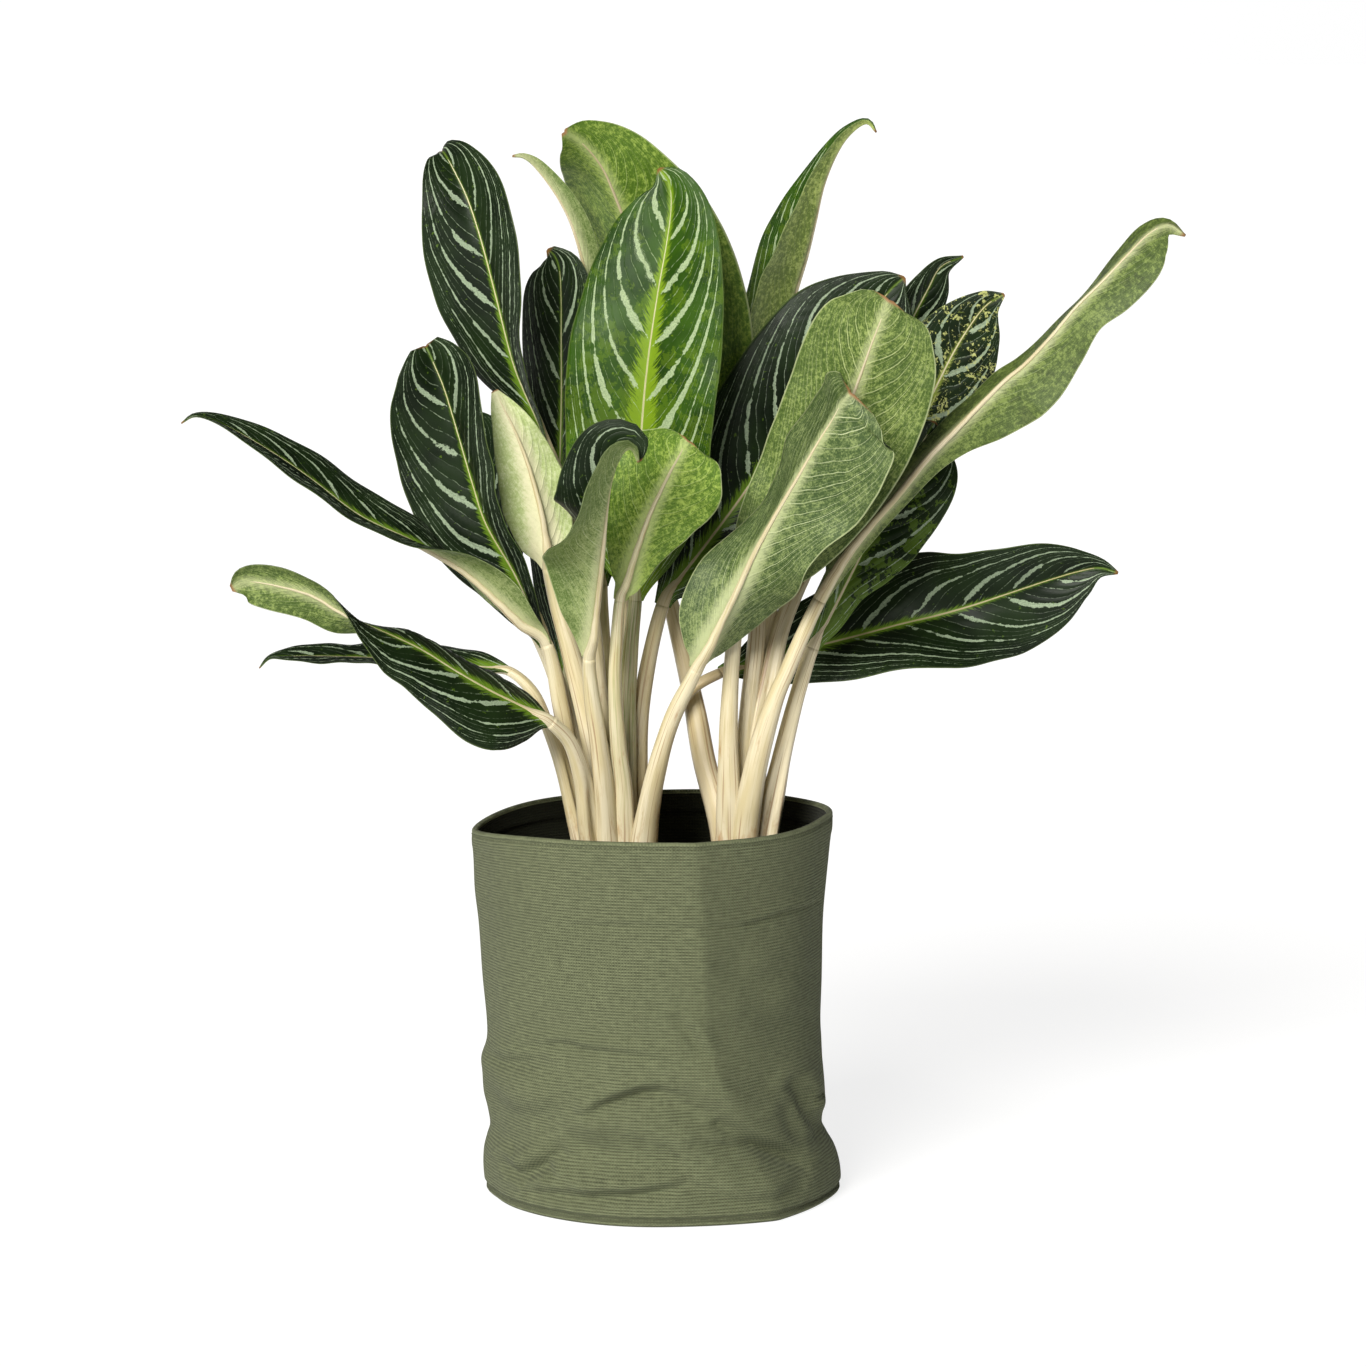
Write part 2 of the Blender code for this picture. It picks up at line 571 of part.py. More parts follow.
def make_pot(collection, hidden):
    """The nursery pot: a tapered shell with a stepped rim and a ring of drain holes in its floor."""
    floor = BASE_THICKNESS + GAP
    top = floor + POT_HEIGHT
    step = top - POT_RIM_DROP
    outer_at_step = POT_TOP_RADIUS - POT_RIM_STEP
    profile = [
        (0, floor + POT_WALL),
        (POT_FLOOR_RADIUS - POT_WALL, floor + POT_WALL),
        (outer_at_step - POT_WALL, step + POT_WALL),
        (POT_TOP_RADIUS - POT_WALL, step + POT_WALL),
        (POT_TOP_RADIUS - POT_WALL, top),
        (POT_TOP_RADIUS, top),
        (POT_TOP_RADIUS, step),
        (outer_at_step, step),
        (POT_FLOOR_RADIUS, floor),
        (0, floor),
    ]
    pot = turned("nursery_pot", profile, POT_SIDES, collection, "pot_plastic")
    for i in range(DRAIN_HOLES):
        angle = 2 * math.pi * i / DRAIN_HOLES
        at = (DRAIN_RING_RADIUS * math.cos(angle), DRAIN_RING_RADIUS * math.sin(angle), floor)
        cut(pot, cylinder(f"drain_cutter_{i}", DRAIN_RADIUS, CUTTER_EXCESS, at, DRAIN_SIDES), hidden)


def make_soil(collection, hidden):
    """The root ball: it fills the pot to below the rim and has a plain hole for each crown."""
    floor = BASE_THICKNESS + 2 * GAP + POT_WALL
    inner_low = POT_FLOOR_RADIUS - POT_WALL - 2 * GAP
    slope = (POT_TOP_RADIUS - POT_RIM_STEP - POT_FLOOR_RADIUS) / (POT_HEIGHT - POT_RIM_DROP)
    step = BASE_THICKNESS + GAP + POT_HEIGHT - POT_RIM_DROP
    wide = min(SOIL_TOP, step - SOIL_BELOW_STEP)
    profile = [
        (0, SOIL_TOP),
        (inner_low + slope * (wide - floor) - SOIL_EDGE_WIDTH, SOIL_TOP),
        (inner_low + slope * (wide - floor), wide - SOIL_EDGE_DROP),
        (inner_low, floor),
        (0, floor),
    ]
    soil = turned("potting_soil", profile, POT_SIDES, collection, "potting_soil")
    for clump in CROWNS:
        cut(soil, crown_body(f"crown_cutter_{clump}", clump, 2 * GAP), hidden)


def main():
    for old in list(bpy.data.objects):
        bpy.data.objects.remove(old)
    plant = bpy.data.collections.new("potted_chinese_evergreen")
    cutters = bpy.data.collections.new("cutters")
    bpy.context.scene.collection.children.link(plant)
    bpy.context.scene.collection.children.link(cutters)
    make_bag_wall(plant)
    make_bag_base(plant)
    make_pot(plant, cutters)
    make_soil(plant, cutters)
    for clump in CROWNS:
        make_clump(clump, plant)
    for leaf in LEAVES:
        make_blade(leaf, plant)


main()
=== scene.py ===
"""Looks of the potted Chinese evergreen: leaf blades, stalks, soil, nursery pot and canvas bag.

Metres, +Z up, front towards -Y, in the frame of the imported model. Leaf points are in millimetres
and degrees, as in the part's own source.
"""

import math
from dataclasses import dataclass

import bmesh
import bpy
import numpy as np
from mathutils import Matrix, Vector


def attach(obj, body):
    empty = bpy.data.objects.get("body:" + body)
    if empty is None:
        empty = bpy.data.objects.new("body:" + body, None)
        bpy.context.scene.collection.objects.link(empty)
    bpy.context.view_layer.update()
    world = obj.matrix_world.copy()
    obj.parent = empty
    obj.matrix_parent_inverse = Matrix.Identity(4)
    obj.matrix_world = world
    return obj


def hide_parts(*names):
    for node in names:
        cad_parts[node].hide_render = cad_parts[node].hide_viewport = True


MM = 0.001
RANDOM = np.random.default_rng(24)

# The bag. Its silhouette: height, then how far its left and right sides are from the middle, in mm.
BAG_HEIGHT = 225.0
BAG_SILHOUETTE = [
    (0, 98.5, 110.5),
    (4, 99.8, 111.2),
    (10, 100.8, 111.4),
    (18, 101.2, 110.2),
    (26, 100.6, 107.6),
    (33, 98.8, 103.4),
    (40, 96.9, 100.2),
    (50, 98.2, 101.0),
    (60, 100.4, 102.0),
    (72, 101.0, 101.2),
    (81, 101.5, 100.4),
    (92, 98.2, 99.9),
    (105, 98.2, 99.4),
    (130, 100.4, 100.4),
    (162, 102.2, 101.2),
    (185, 104.8, 102.8),
    (205, 105.8, 104.4),
    (216, 106.4, 105.8),
    (225, 106.2, 106.0),
]
BAG_DEPTH_RADIUS = [(0, 104.0), (12, 105.0), (40, 99.5), (75, 100.5), (110, 99.5), (170, 102.5), (225, 106.0)]
BAG_MOUTH_DIP = 8.0
BAG_CLOTH = 2.1
CREASE_ROOM = 10.0
HEM_DEPTH = 13.0
WEAVE_PITCH = 1.8
STITCH_DROP = 3.6
STITCH_PITCH = 3.0
BAG_ANGLES = 440
BASE_MIDDLE_X = 6.5

# Creases of the bag's front: points (x, z) in mm on the cloth, then width and depth in mm. Slack cloth
# bulges above each of them.
CREASES = [
    ([(-35, 65), (-27, 70), (-15, 75), (-4, 78), (6, 78)], 3.2, 4.6),
    ([(-4, 80), (6, 78), (16, 73), (31, 64), (45, 55), (60, 44), (74, 35), (89, 27)], 8.5, 4.6),
    ([(39, 58), (48, 52), (60, 44), (74, 36), (84, 30), (90, 25)], 3.6, 4.0),
    ([(25, 49), (39, 45), (57, 42)], 3.6, 3.0),
    ([(-89, 24), (-80, 22), (-73, 25), (-64, 32), (-55, 39)], 4.2, 5.4),
    ([(-64, 29), (-56, 24), (-46, 23)], 3.4, 3.0),
    ([(-73, 13), (-56, 15), (-38, 14), (-21, 17), (-4, 19), (11, 22), (20, 25)], 3.8, 4.8),
    ([(-50, 19), (-36, 18), (-22, 21)], 3.0, 2.4),
    ([(-78, 98), (-52, 103), (-38, 101), (-12, 100), (9, 97)], 2.6, 2.2),
    ([(14, 122), (20, 115), (25, 106), (30, 100)], 3.0, 2.4),
    ([(83, 74), (88, 66), (90, 56), (96, 46), (101, 39)], 4.6, 5.6),
    ([(76, 60), (80, 50), (84, 40)], 5.0, 3.4),
    ([(-44, 175), (-18, 176), (16, 176)], 1.8, 1.2),
    ([(17, 176), (54, 174), (77, 177), (100, 176)], 1.8, 1.4),
    ([(-97, 84), (-84, 86), (-66, 92)], 4.0, 2.8),
    ([(-97, 60), (-84, 56), (-66, 60), (-50, 66)], 7.0, 3.4),
    ([(-60, 48), (-40, 44), (-16, 40), (4, 34)], 8.0, 3.0),
    ([(60, 120), (74, 112), (90, 108)], 8.0, 2.6),
    ([(44, 150), (58, 140), (76, 138)], 8.0, 2.2),
    ([(-20, 52), (-2, 46), (18, 34), (30, 24)], 7.0, 3.0),
    ([(24, 20), (44, 14), (66, 12), (84, 15)], 5.0, 3.4),
]
# A soft edge runs down the front, where the cloth turns from the light: x and z in mm.
FRONT_EDGE = [(24, 225), (26, 202), (28, 161), (29, 132), (31, 109), (35, 91), (41, 73), (52, 50), (66, 20), (70, 0)]
FRONT_EDGE_HEIGHT = 7.0

# The nursery pot and its soil, in mm.
POT_FLOOR = 2.9
POT_TOP_RADIUS = 92.5
POT_FLOOR_RADIUS = 69.0
POT_HEIGHT = 180.0
SOIL_TOP = 172.0
SOIL_RADIUS = 87.0
SOIL_CRUMBS = 420

# The crowns: middle x, middle y, half width, half depth, in mm.
CROWNS = {
    "left": (-18.0, 1.0, 26.0, 19.5),
    "right": (51.0, 4.0, 19.5, 17.5),
}
STALK_START = 175.0
STALK_RADII = (8.0, 5.6, 4.0)

# The fine meshes.
PATH_STEPS = 24
BLADE_ROWS = 104
HALF_COLUMNS = 20
BLADE_HALF_THICKNESS = 0.40
FOLD_WIDTH = 0.16
VEIN_SPACING = 10.5
STALK_RINGS = 70
STALK_SIDES = 28
RIB_SIDES = 16

VIEWPOINT = np.array((18.0, -2970.0, 673.0))
TOWARDS_VIEWER = np.array((0.0, -0.992, 0.124))
CAMERA_PITCH = 7.1
CAMERA_LENS = 134.25
SENSOR = 36.0
FLOOR_SIZE = 200000.0
# How bright a white floor is next to a white surface that faces the key light.
LIGHT_SHARE = 0.76


@dataclass
class Leaf:
    """One leaf. Its stalk is a list of (x, y, z) from the crown up, its blade one of (x, y, z, roll,
    half width) from collar to tip.

    top is 1 where the blade's top faces the viewer at roll 0, and -1 where its underside does. A
    positive roll brings the right half towards the viewer. fold is the angle of each half against
    the flat, curl how far each half bends back towards its margin.
    """

    name: str
    clump: str
    stalk: list
    blade: list
    top: int = 1
    fold: float = 20.0
    curl: float = 22.0
    wave: float = 1.5
    waves: float = 2.5
    phase: float = 0.0
    thick: float = 1.0
    colour: str = "leaf_dark"


LEAVES = [
    # far left, long and twisted
    Leaf("leaf_01", "left",
         [(-34, 4), (-41, 6, 210), (-47, 6, 250), (-54, 4, 290)],
         [(-62, 0, 326, -112, 4.5), (-75, -3, 338, -116, 13), (-91, -6, 353, -118, 20),
          (-112, -9, 371, -104, 22), (-140, -11, 387, -72, 22), (-171, -11, 402, -62, 23),
          (-200, -10, 424, -62, 23), (-225, -9, 441, -64, 17), (-250, -8, 455, -66, 10),
          (-266, -8, 460, -66, 4), (-275, -8, 456, -66, 0.8)],
         fold=26),
    # far left, low, its tip turned over
    Leaf("leaf_02", "left",
         [(-30, -10), (-37, -14, 212), (-41, -20, 245), (-48, -29, 267)],
         [(-60, -37, 280, -48, 4.5), (-70, -40, 286, -50, 22), (-82, -43, 292, -54, 35),
          (-96, -46, 299, -54, 39), (-115, -48, 310, -56, 34), (-134, -50, 322, -58, 30),
          (-150, -51, 330, -62, 28), (-168, -52, 338, -84, 22), (-184, -53, 346, -122, 17),
          (-200, -54, 355, -150, 15), (-222, -56, 361, -158, 15), (-238, -57, 363, -158, 12),
          (-247, -58, 359, -158, 2)],
         fold=3, curl=50),
    Leaf("leaf_03", "left",
         [(-36, -2), (-43, -2, 210), (-53, -1, 253), (-61, 0, 276), (-70, 3, 297)],
         [(-84, 7, 310, -62, 3.6), (-103, 10, 313, -62, 15), (-130, 13, 316, -66, 20),
          (-160, 16, 318, -68, 20), (-190, 18, 319, -70, 17), (-212, 19, 319, -70, 11),
          (-224, 20, 318, -70, 5), (-231, 20, 312, -70, 0.8)],
         thick=0.8),
    # left, upright and dark
    Leaf("leaf_04", "left",
         [(-28, 7), (-36, 10, 215), (-44, 12, 255), (-53, 12, 295)],
         [(-62, 10, 325, 46, 4.5), (-71, 10, 346, 46, 16), (-81, 10, 368, 46, 27),
          (-97, 11, 396, 44, 38), (-105, 13, 420, 43, 41), (-113, 14, 448, 40, 41),
          (-121, 16, 475, 24, 34), (-127, 18, 490, 12, 24), (-131, 20, 499, 4, 13),
          (-132, 22, 501, 0, 2)],
         fold=41),
    Leaf("leaf_05", "left",
         [(-23, 6), (-27, 9, 230), (-31, 14, 290), (-37, 19, 350)],
         [(-50, 23, 408, 60, 4.5), (-58, 23, 432, 60, 5), (-67, 22, 457, 58, 8),
          (-75, 21, 475, 55, 18), (-82, 20, 494, 52, 29), (-91, 20, 530, 42, 36),
          (-99, 22, 561, 32, 36), (-107, 28, 586, 16, 29), (-115, 37, 603, 8, 20),
          (-120, 46, 612, 4, 11), (-122, 54, 614, 0, 2)],
         fold=37),
    # dark, its right half behind the bright middle leaf
    Leaf("leaf_06", "left",
         [(-32, 9), (-38, 16, 220), (-43, 22, 255)],
         [(-49, 30, 298, 34, 4), (-51, 35, 330, 35, 12), (-53, 42, 370, 36, 22),
          (-54, 46, 420, 36, 27), (-53, 46, 470, 36, 28), (-53, 44, 505, 35, 28),
          (-53, 44, 530, 34, 26), (-54, 44, 546, 32, 18), (-57, 44, 554, 30, 8),
          (-61, 44, 557, 30, 1)],
         fold=16),
    # the bright leaf in the middle
    Leaf("leaf_07", "left",
         [(-15, 4), (-16, 4, 235), (-15, 4, 285), (-13, 5, 322)],
         [(-10, 6, 352, 10, 5), (-9, 5, 380, 14, 26), (-7.5, 4, 415, 18, 42),
          (-6, 4, 455, 20, 47), (-2.5, 5, 492, 20, 48), (3, 8, 530, 22, 45),
          (8, 11, 558, 22, 38), (11, 14, 580, 20, 27), (10, 17, 595, 14, 14), (4, 20, 604, 8, 1)],
         colour="leaf_bright"),
    # large and pale behind it, its tip towards the viewer
    Leaf("leaf_08", "right",
         [(46, 9), (42, 11, 214), (31, 23, 255), (24, 37, 293), (13, 45, 342), (7, 50, 366)],
         [(6, 54, 394, 20, 5), (9, 57, 425, 24, 28), (12, 59, 462, 28, 44), (10, 60, 500, 30, 51),
          (2, 59, 530, 30, 53), (-8, 56, 555, 30, 52), (-18, 49, 580, 28, 46),
          (-28, 38, 603, 22, 32), (-40, 26, 618, 14, 17), (-51, 16, 625, 10, 2)],
         top=-1, fold=40, colour="leaf_pale"),
    # young, still rolled
    Leaf("leaf_09", "left",
         [(-21, 12), (-20, 20, 250), (-18, 30, 320), (-17, 38, 376)],
         [(-17, 44, 420, 40, 3), (-20, 48, 450, 40, 8), (-26, 50, 490, 42, 12),
          (-35, 50, 530, 44, 12), (-44, 50, 565, 46, 11), (-53, 48, 585, 50, 9),
          (-66, 46, 603, 50, 6), (-74, 44, 610, 50, 3), (-81, 43, 611, 50, 0.8)],
         top=-1, fold=74, thick=0.7, colour="leaf_pale"),
    # upper right, folded along its midrib
    Leaf("leaf_10", "right",
         [(51, 8), (52, 10, 230), (57, 14, 290), (61, 20, 331), (62, 46, 376)],
         [(61, 86, 425, -97, 5), (65, 95, 455, -97, 22), (72, 101, 490, -97, 35),
          (82, 104, 530, -97, 40), (89, 102, 553, -97, 38), (94, 98, 573, -98, 30),
          (99, 93, 594, -101, 19), (106, 87, 611, -101, 12), (114, 82, 623, -100, 8),
          (124, 77, 630, -100, 4), (130, 72, 625, -100, 0.8)],
         top=-1, fold=56, colour="leaf_pale"),
    # large and dark, right of the middle
    Leaf("leaf_11", "left",
         [(-11, 12), (-10, 12, 245), (-5, 13, 300)],
         [(6, 14, 349, 0, 5), (17, 16, 366, 0, 16), (30, 19, 383, 0, 31), (53, 26, 414, 0, 43),
          (75, 34, 447, 0, 46), (98, 42, 480, 0, 47), (117, 47, 506, 0, 43), (131, 49, 524, 0, 29),
          (140, 49, 535, 0, 14), (147, 48, 541, 0, 1)],
         fold=14),
    # pale underside, upper right
    Leaf("leaf_12", "right",
         [(45, -3), (45, -4, 230), (45, -5, 285)],
         [(50, -8, 345, 8, 5), (60, -12, 362, 8, 16), (73, -18, 385, 10, 30),
          (95, -29, 423, 18, 41), (110, -38, 453, 20, 44), (121, -45, 482, 18, 44),
          (128, -50, 502, 16, 40), (133, -54, 515, 16, 32), (136, -57, 524, 14, 20),
          (138, -59, 528, 10, 3)],
         top=-1, fold=24, colour="leaf_pale"),
    # pale underside, front right
    Leaf("leaf_13", "left",
         [(-6, -10), (-5, -14, 210), (1, -18, 245), (11, -22, 280)],
         [(26, -28, 311, -30, 5), (31, -31, 321, -28, 14), (38, -34, 335, -22, 25),
          (49, -41, 356, 0, 30), (61, -50, 380, 38, 33), (73, -60, 402, 50, 36),
          (85, -70, 423, 42, 44), (97, -79, 444, 46, 48), (105, -85, 457, 46, 46),
          (110, -89, 466, 44, 40), (114, -91, 471, 42, 28), (116, -92, 474, 40, 3)],
         top=-1, fold=38, colour="leaf_pale"),
    Leaf("leaf_14", "right",
         [(57, 6), (60, 8, 250), (68, 15, 300), (77, 27, 340), (98, 42, 385)],
         [(122, 50, 415, 0, 4.5), (134, 52, 428, 0, 14), (147, 53, 444, -2, 24),
          (162, 52, 470, -6, 30), (175, 50, 496, -8, 28), (186, 47, 514, -8, 20),
          (195, 44, 525, -4, 10), (205, 42, 531, 0, 1)],
         fold=14),
    # small and dark, behind
    Leaf("leaf_15", "right",
         [(53, 14), (56, 18, 250), (62, 21, 310), (73, 34, 362), (90, 48, 410)],
         [(108, 58, 442, -30, 4), (120, 62, 462, -30, 14), (134, 66, 486, -30, 20),
          (149, 68, 512, -30, 20), (160, 68, 533, -30, 14), (168, 67, 547, -30, 7),
          (181, 64, 553, -30, 0.8)],
         thick=0.8),
    # long, to the upper right
    Leaf("leaf_16", "right",
         [(53, -6), (55, -8, 215), (61, -10, 254), (71, -12, 290), (80, -13, 312), (89, -14, 333)],
         [(98, -15, 352, 0, 5), (113, -17, 377, 0, 8), (127, -19, 395, 0, 9),
          (143, -21, 413, 0, 10), (160, -23, 434, 2, 12), (175, -24, 449, 12, 15),
          (190, -25, 464, 32, 23), (206, -26, 480, 42, 29), (218, -27, 490, 44, 28),
          (232, -28, 505, 44, 23), (247, -29, 523, 44, 19), (262, -29, 538, 42, 22),
          (277, -30, 554, 38, 22), (289, -32, 566, 30, 16), (300, -35, 571, 22, 7),
          (310, -38, 565, 20, 0.8)],
         top=-1, fold=50, colour="leaf_pale"),
    # low on the right, dark, behind the stalks
    Leaf("leaf_17", "left",
         [(-4, 9), (-2, 16, 220), (7, 20, 270), (21, 22, 297)],
         [(40, 25, 309, 20, 4), (52, 33, 312, 20, 10), (67, 40, 316, 20, 19),
          (93, 47, 324, 22, 28), (120, 50, 331, 28, 36), (146, 50, 338, 32, 42),
          (167, 49, 343, 18, 39), (188, 47, 349, -8, 36), (209, 45, 356, -26, 37),
          (233, 43, 364, -22, 29), (250, 42, 369, -14, 17), (262, 41, 371, -8, 7),
          (273, 40, 368, 0, 0.8)],
         fold=30, thick=0.8),
    # lime green at its base, between the two long right leaves
    Leaf("leaf_18", "right",
         [(61, 0), (67, 2, 215), (73, 3, 245), (79, 4, 272), (86, 4, 299)],
         [(94, 4, 324, -10, 4.5), (103, 6, 340, -10, 9), (112, 8, 358, -10, 13),
          (120, 11, 374, -10, 22), (129, 14, 392, -10, 29), (145, 20, 420, -10, 32),
          (155, 24, 440, -10, 27), (161, 26, 450, -10, 16), (165, 27, 457, -10, 1)],
         colour="leaf_bright"),
    # small, in front of the middle
    Leaf("leaf_19", "left",
         [(-17, -9), (-17, -13, 234), (-20, -18, 265), (-22, -24, 300), (-21, -28, 327)],
         [(-19, -32, 352, 0, 4), (-15, -35, 362, 0, 9), (-10, -39, 379, -8, 18),
          (-2, -43, 401, -2, 29), (5, -48, 416, 4, 34), (11, -52, 428, 6, 33),
          (16, -55, 437, 6, 27), (19, -57, 443, 6, 18), (21, -58, 446, 6, 3)],
         top=-1, fold=28, thick=0.8, colour="leaf_bright"),
    # small, left of it, folded over itself
    Leaf("leaf_20", "left",
         [(-24, -9), (-27, -15, 230), (-32, -22, 270), (-36, -28, 298)],
         [(-37, -34, 318, -46, 4.5), (-34, -46, 342, -50, 20), (-31, -62, 368, -54, 32),
          (-29, -76, 390, -84, 36), (-27, -88, 408, -112, 31), (-24, -97, 424, -122, 29),
          (-18, -103, 438, -126, 25), (-12, -105, 441, -128, 13), (-8, -105, 433, -128, 2)],
         top=-1, fold=70, colour="leaf_pale"),
    # pale with a wide midrib, left of the middle
    Leaf("leaf_21", "left",
         [(-25, 0), (-27, 0, 235), (-36, 0, 275), (-47, 3, 318), (-55, 6, 347)],
         [(-60, 4, 371, -6, 5), (-62, 2, 384, -12, 15), (-65, 2, 402, -20, 21),
          (-70, 4, 422, -22, 21), (-75, 6, 438, -18, 18), (-81, 8, 453, -14, 13),
          (-87, 10, 465, -10, 8), (-92, 12, 475, -8, 2)],
         top=-1, fold=20, thick=1.15, colour="leaf_pale"),
    # leaning back, behind the others
    Leaf("leaf_22", "left",
         [(-22, 9), (-25, 28, 240), (-28, 54, 310)],
         [(-30, 80, 360, 0, 4.5), (-28, 106, 400, 0, 27), (-24, 136, 436, 0, 37),
          (-20, 164, 458, 0, 30), (-16, 194, 466, 0, 1)]),
    Leaf("leaf_23", "right",
         [(55, 13), (57, 30, 235), (59, 52, 288), (63, 74, 332)],
         [(70, 94, 366, 0, 4.5), (80, 118, 398, 0, 27), (93, 146, 426, 0, 37),
          (107, 172, 443, 0, 30), (121, 200, 446, 0, 1)]),
    Leaf("leaf_24", "left",
         [(-28, 7), (-40, 32, 245), (-56, 58, 305), (-70, 76, 338)],
         [(-80, 92, 362, 0, 4.5), (-95, 118, 396, 0, 26), (-108, 146, 425, 0, 35),
          (-117, 174, 446, 0, 28), (-123, 202, 456, 0, 1)]),
]

# Which finish a blade's top and underside have, where they aren't the usual ones.
FINISHES = {
    "leaf_07": ("top_bright", "under_green"),
    "leaf_08": ("top_dark", "under_green"),
    "leaf_12": ("top_dark", "under_olive"),
    "leaf_13": ("top_dark", "under_grey"),
    "leaf_14": ("top_specked", "under_pale"),
    "leaf_16": ("top_dark", "under_streaked"),
    "leaf_09": ("top_bright", "under_pale"),
    "leaf_10": ("top_bright", "under_painted_light"),
    "leaf_02": ("top_dark", "under_olive"),
    "leaf_18": ("top_lime", "under_pale"),
    "leaf_19": ("top_bright", "under_green"),
    "leaf_21": ("top_dark", "under_cream_painted_light"),
}
# How green, and how brown, a stalk is, where it isn't cream.
STALK_TINTS = {"leaf_07": (0.75, 0.0), "leaf_19": (0.35, 0.0), "leaf_17": (0.1, 0.55), "leaf_11": (0.15, 0.25),
               "leaf_22": (0.3, 0.2), "leaf_06": (0.6, 0.1), "leaf_08": (0.0, 0.2)}


def seen(red, green, blue):
    """The linear colour that looks like the given 8-bit one where the key light falls on it."""
    linear = [((c / 255 + 0.055) / 1.055) ** 2.4 if c > 10 else c / 255 / 12.92 for c in (red, green, blue)]
    return tuple(LIGHT_SHARE * c for c in linear)


class Finish:
    """A material with a Principled BSDF, and short calls that add and link its nodes."""

    def __init__(self, name, roughness, **shader):
        self.material = bpy.data.materials.new(name)
        self.material.use_nodes = True
        self.tree = self.material.node_tree
        self.surface = self.tree.nodes["Principled BSDF"]
        self.surface.inputs["Roughness"].default_value = roughness
        for socket, value in shader.items():
            self.surface.inputs[socket.replace("_", " ")].default_value = value

    def put(self, socket, value):
        if isinstance(value, bpy.types.NodeSocket):
            self.tree.links.new(value, socket)
        elif isinstance(value, tuple) and len(value) == 3 and len(socket.default_value) == 4:
            socket.default_value = (*value, 1)
        else:
            socket.default_value = value

    def math(self, operation, *values, clamp=False):
        node = self.tree.nodes.new("ShaderNodeMath")
        node.operation = operation
        node.use_clamp = clamp
        for socket, value in zip(node.inputs, values):
            self.put(socket, value)
        return node.outputs[0]

    def add(self, a, b):
        return self.math("ADD", a, b)

    def times(self, a, b):
        return self.math("MULTIPLY", a, b)

    def less(self, a, b):
        return self.math("SUBTRACT", a, b)

    def step(self, value, low, high):
        """0 below low and 1 above high, or the other way round where low is the higher one."""
        node = self.tree.nodes.new("ShaderNodeMapRange")
        node.interpolation_type = "SMOOTHSTEP"
        ends = (0.0, 1.0)
        if low > high:
            low, high = high, low
            ends = (1.0, 0.0)
        for name, number in zip(("Value", "From Min", "From Max", "To Min", "To Max"), (value, low, high, *ends)):
            self.put(node.inputs[name], number)
        return node.outputs["Result"]

    def mix(self, factor, a, b, blend="MIX"):
        node = self.tree.nodes.new("ShaderNodeMix")
        node.data_type = "RGBA"
        node.blend_type = blend
        self.put(node.inputs["Factor"], factor)
        self.put(node.inputs[6], a)
        self.put(node.inputs[7], b)
        return node.outputs[2]

    def attribute(self, name):
        node = self.tree.nodes.new("ShaderNodeAttribute")
        node.attribute_name = name
        return node

    def parts(self, name):
        """The three numbers of a vector attribute."""
        node = self.tree.nodes.new("ShaderNodeSeparateXYZ")
        self.tree.links.new(self.attribute(name).outputs["Vector"], node.inputs[0])
        return node.outputs

    def vector(self, x, y, z):
        node = self.tree.nodes.new("ShaderNodeCombineXYZ")
        for socket, value in zip(node.inputs, (x, y, z)):
            self.put(socket, value)
        return node.outputs[0]

    def noise(self, vector, scale, detail=2.0, roughness=0.5):
        node = self.tree.nodes.new("ShaderNodeTexNoise")
        self.put(node.inputs["Vector"], vector)
        node.inputs["Scale"].default_value = scale
        node.inputs["Detail"].default_value = detail
        node.inputs["Roughness"].default_value = roughness
        return node.outputs["Fac"]

    def chance(self, number):
        """A random number that depends on the given one only."""
        node = self.tree.nodes.new("ShaderNodeTexWhiteNoise")
        node.noise_dimensions = "1D"
        self.put(node.inputs["W"], number)
        return node.outputs["Value"]

    def position(self):
        return self.tree.nodes.new("ShaderNodeTexCoord").outputs["Object"]

    def bump(self, height, strength, distance):
        node = self.tree.nodes.new("ShaderNodeBump")
        node.inputs["Strength"].default_value = strength
        node.inputs["Distance"].default_value = distance
        self.put(node.inputs["Height"], height)
        self.put(self.surface.inputs["Normal"], node.outputs[0])

    def colour(self, value):
        self.put(self.surface.inputs["Base Color"], value)


def blade_coordinates(f):
    """Common numbers of a blade's finish: share, side, metric place, veins and chance."""
    share, column, seed = f.parts("place")
    along, across, vein = f.parts("metric")
    right = f.math("GREATER_THAN", column, 0.0)
    side = f.math("ABSOLUTE", column)
    off_rib = f.math("ABSOLUTE", across)
    count = f.add(vein, f.times(right, 0.43))
    place = f.vector(along, across, f.times(seed, 37.0))
    wobble = f.less(f.noise(place, 0.09, 1.0), 0.5)
    count = f.add(count, f.times(wobble, 0.5))
    index = f.math("FLOOR", count)
    off_vein = f.math("ABSOLUTE", f.less(f.less(count, index), 0.5))
    luck = f.chance(f.add(f.add(f.times(index, 3.7), f.times(right, 51.0)), f.times(seed, 11.0)))
    third = f.math("FRACT", f.add(f.times(index, 0.3333), f.times(seed, 2.0)))
    heavy = f.math("LESS_THAN", third, 0.36)
    return dict(share=share, column=column, side=side, off_rib=off_rib, along=along, across=across, place=place,
                count=count, off_vein=off_vein, luck=luck, heavy=heavy, seed=seed)


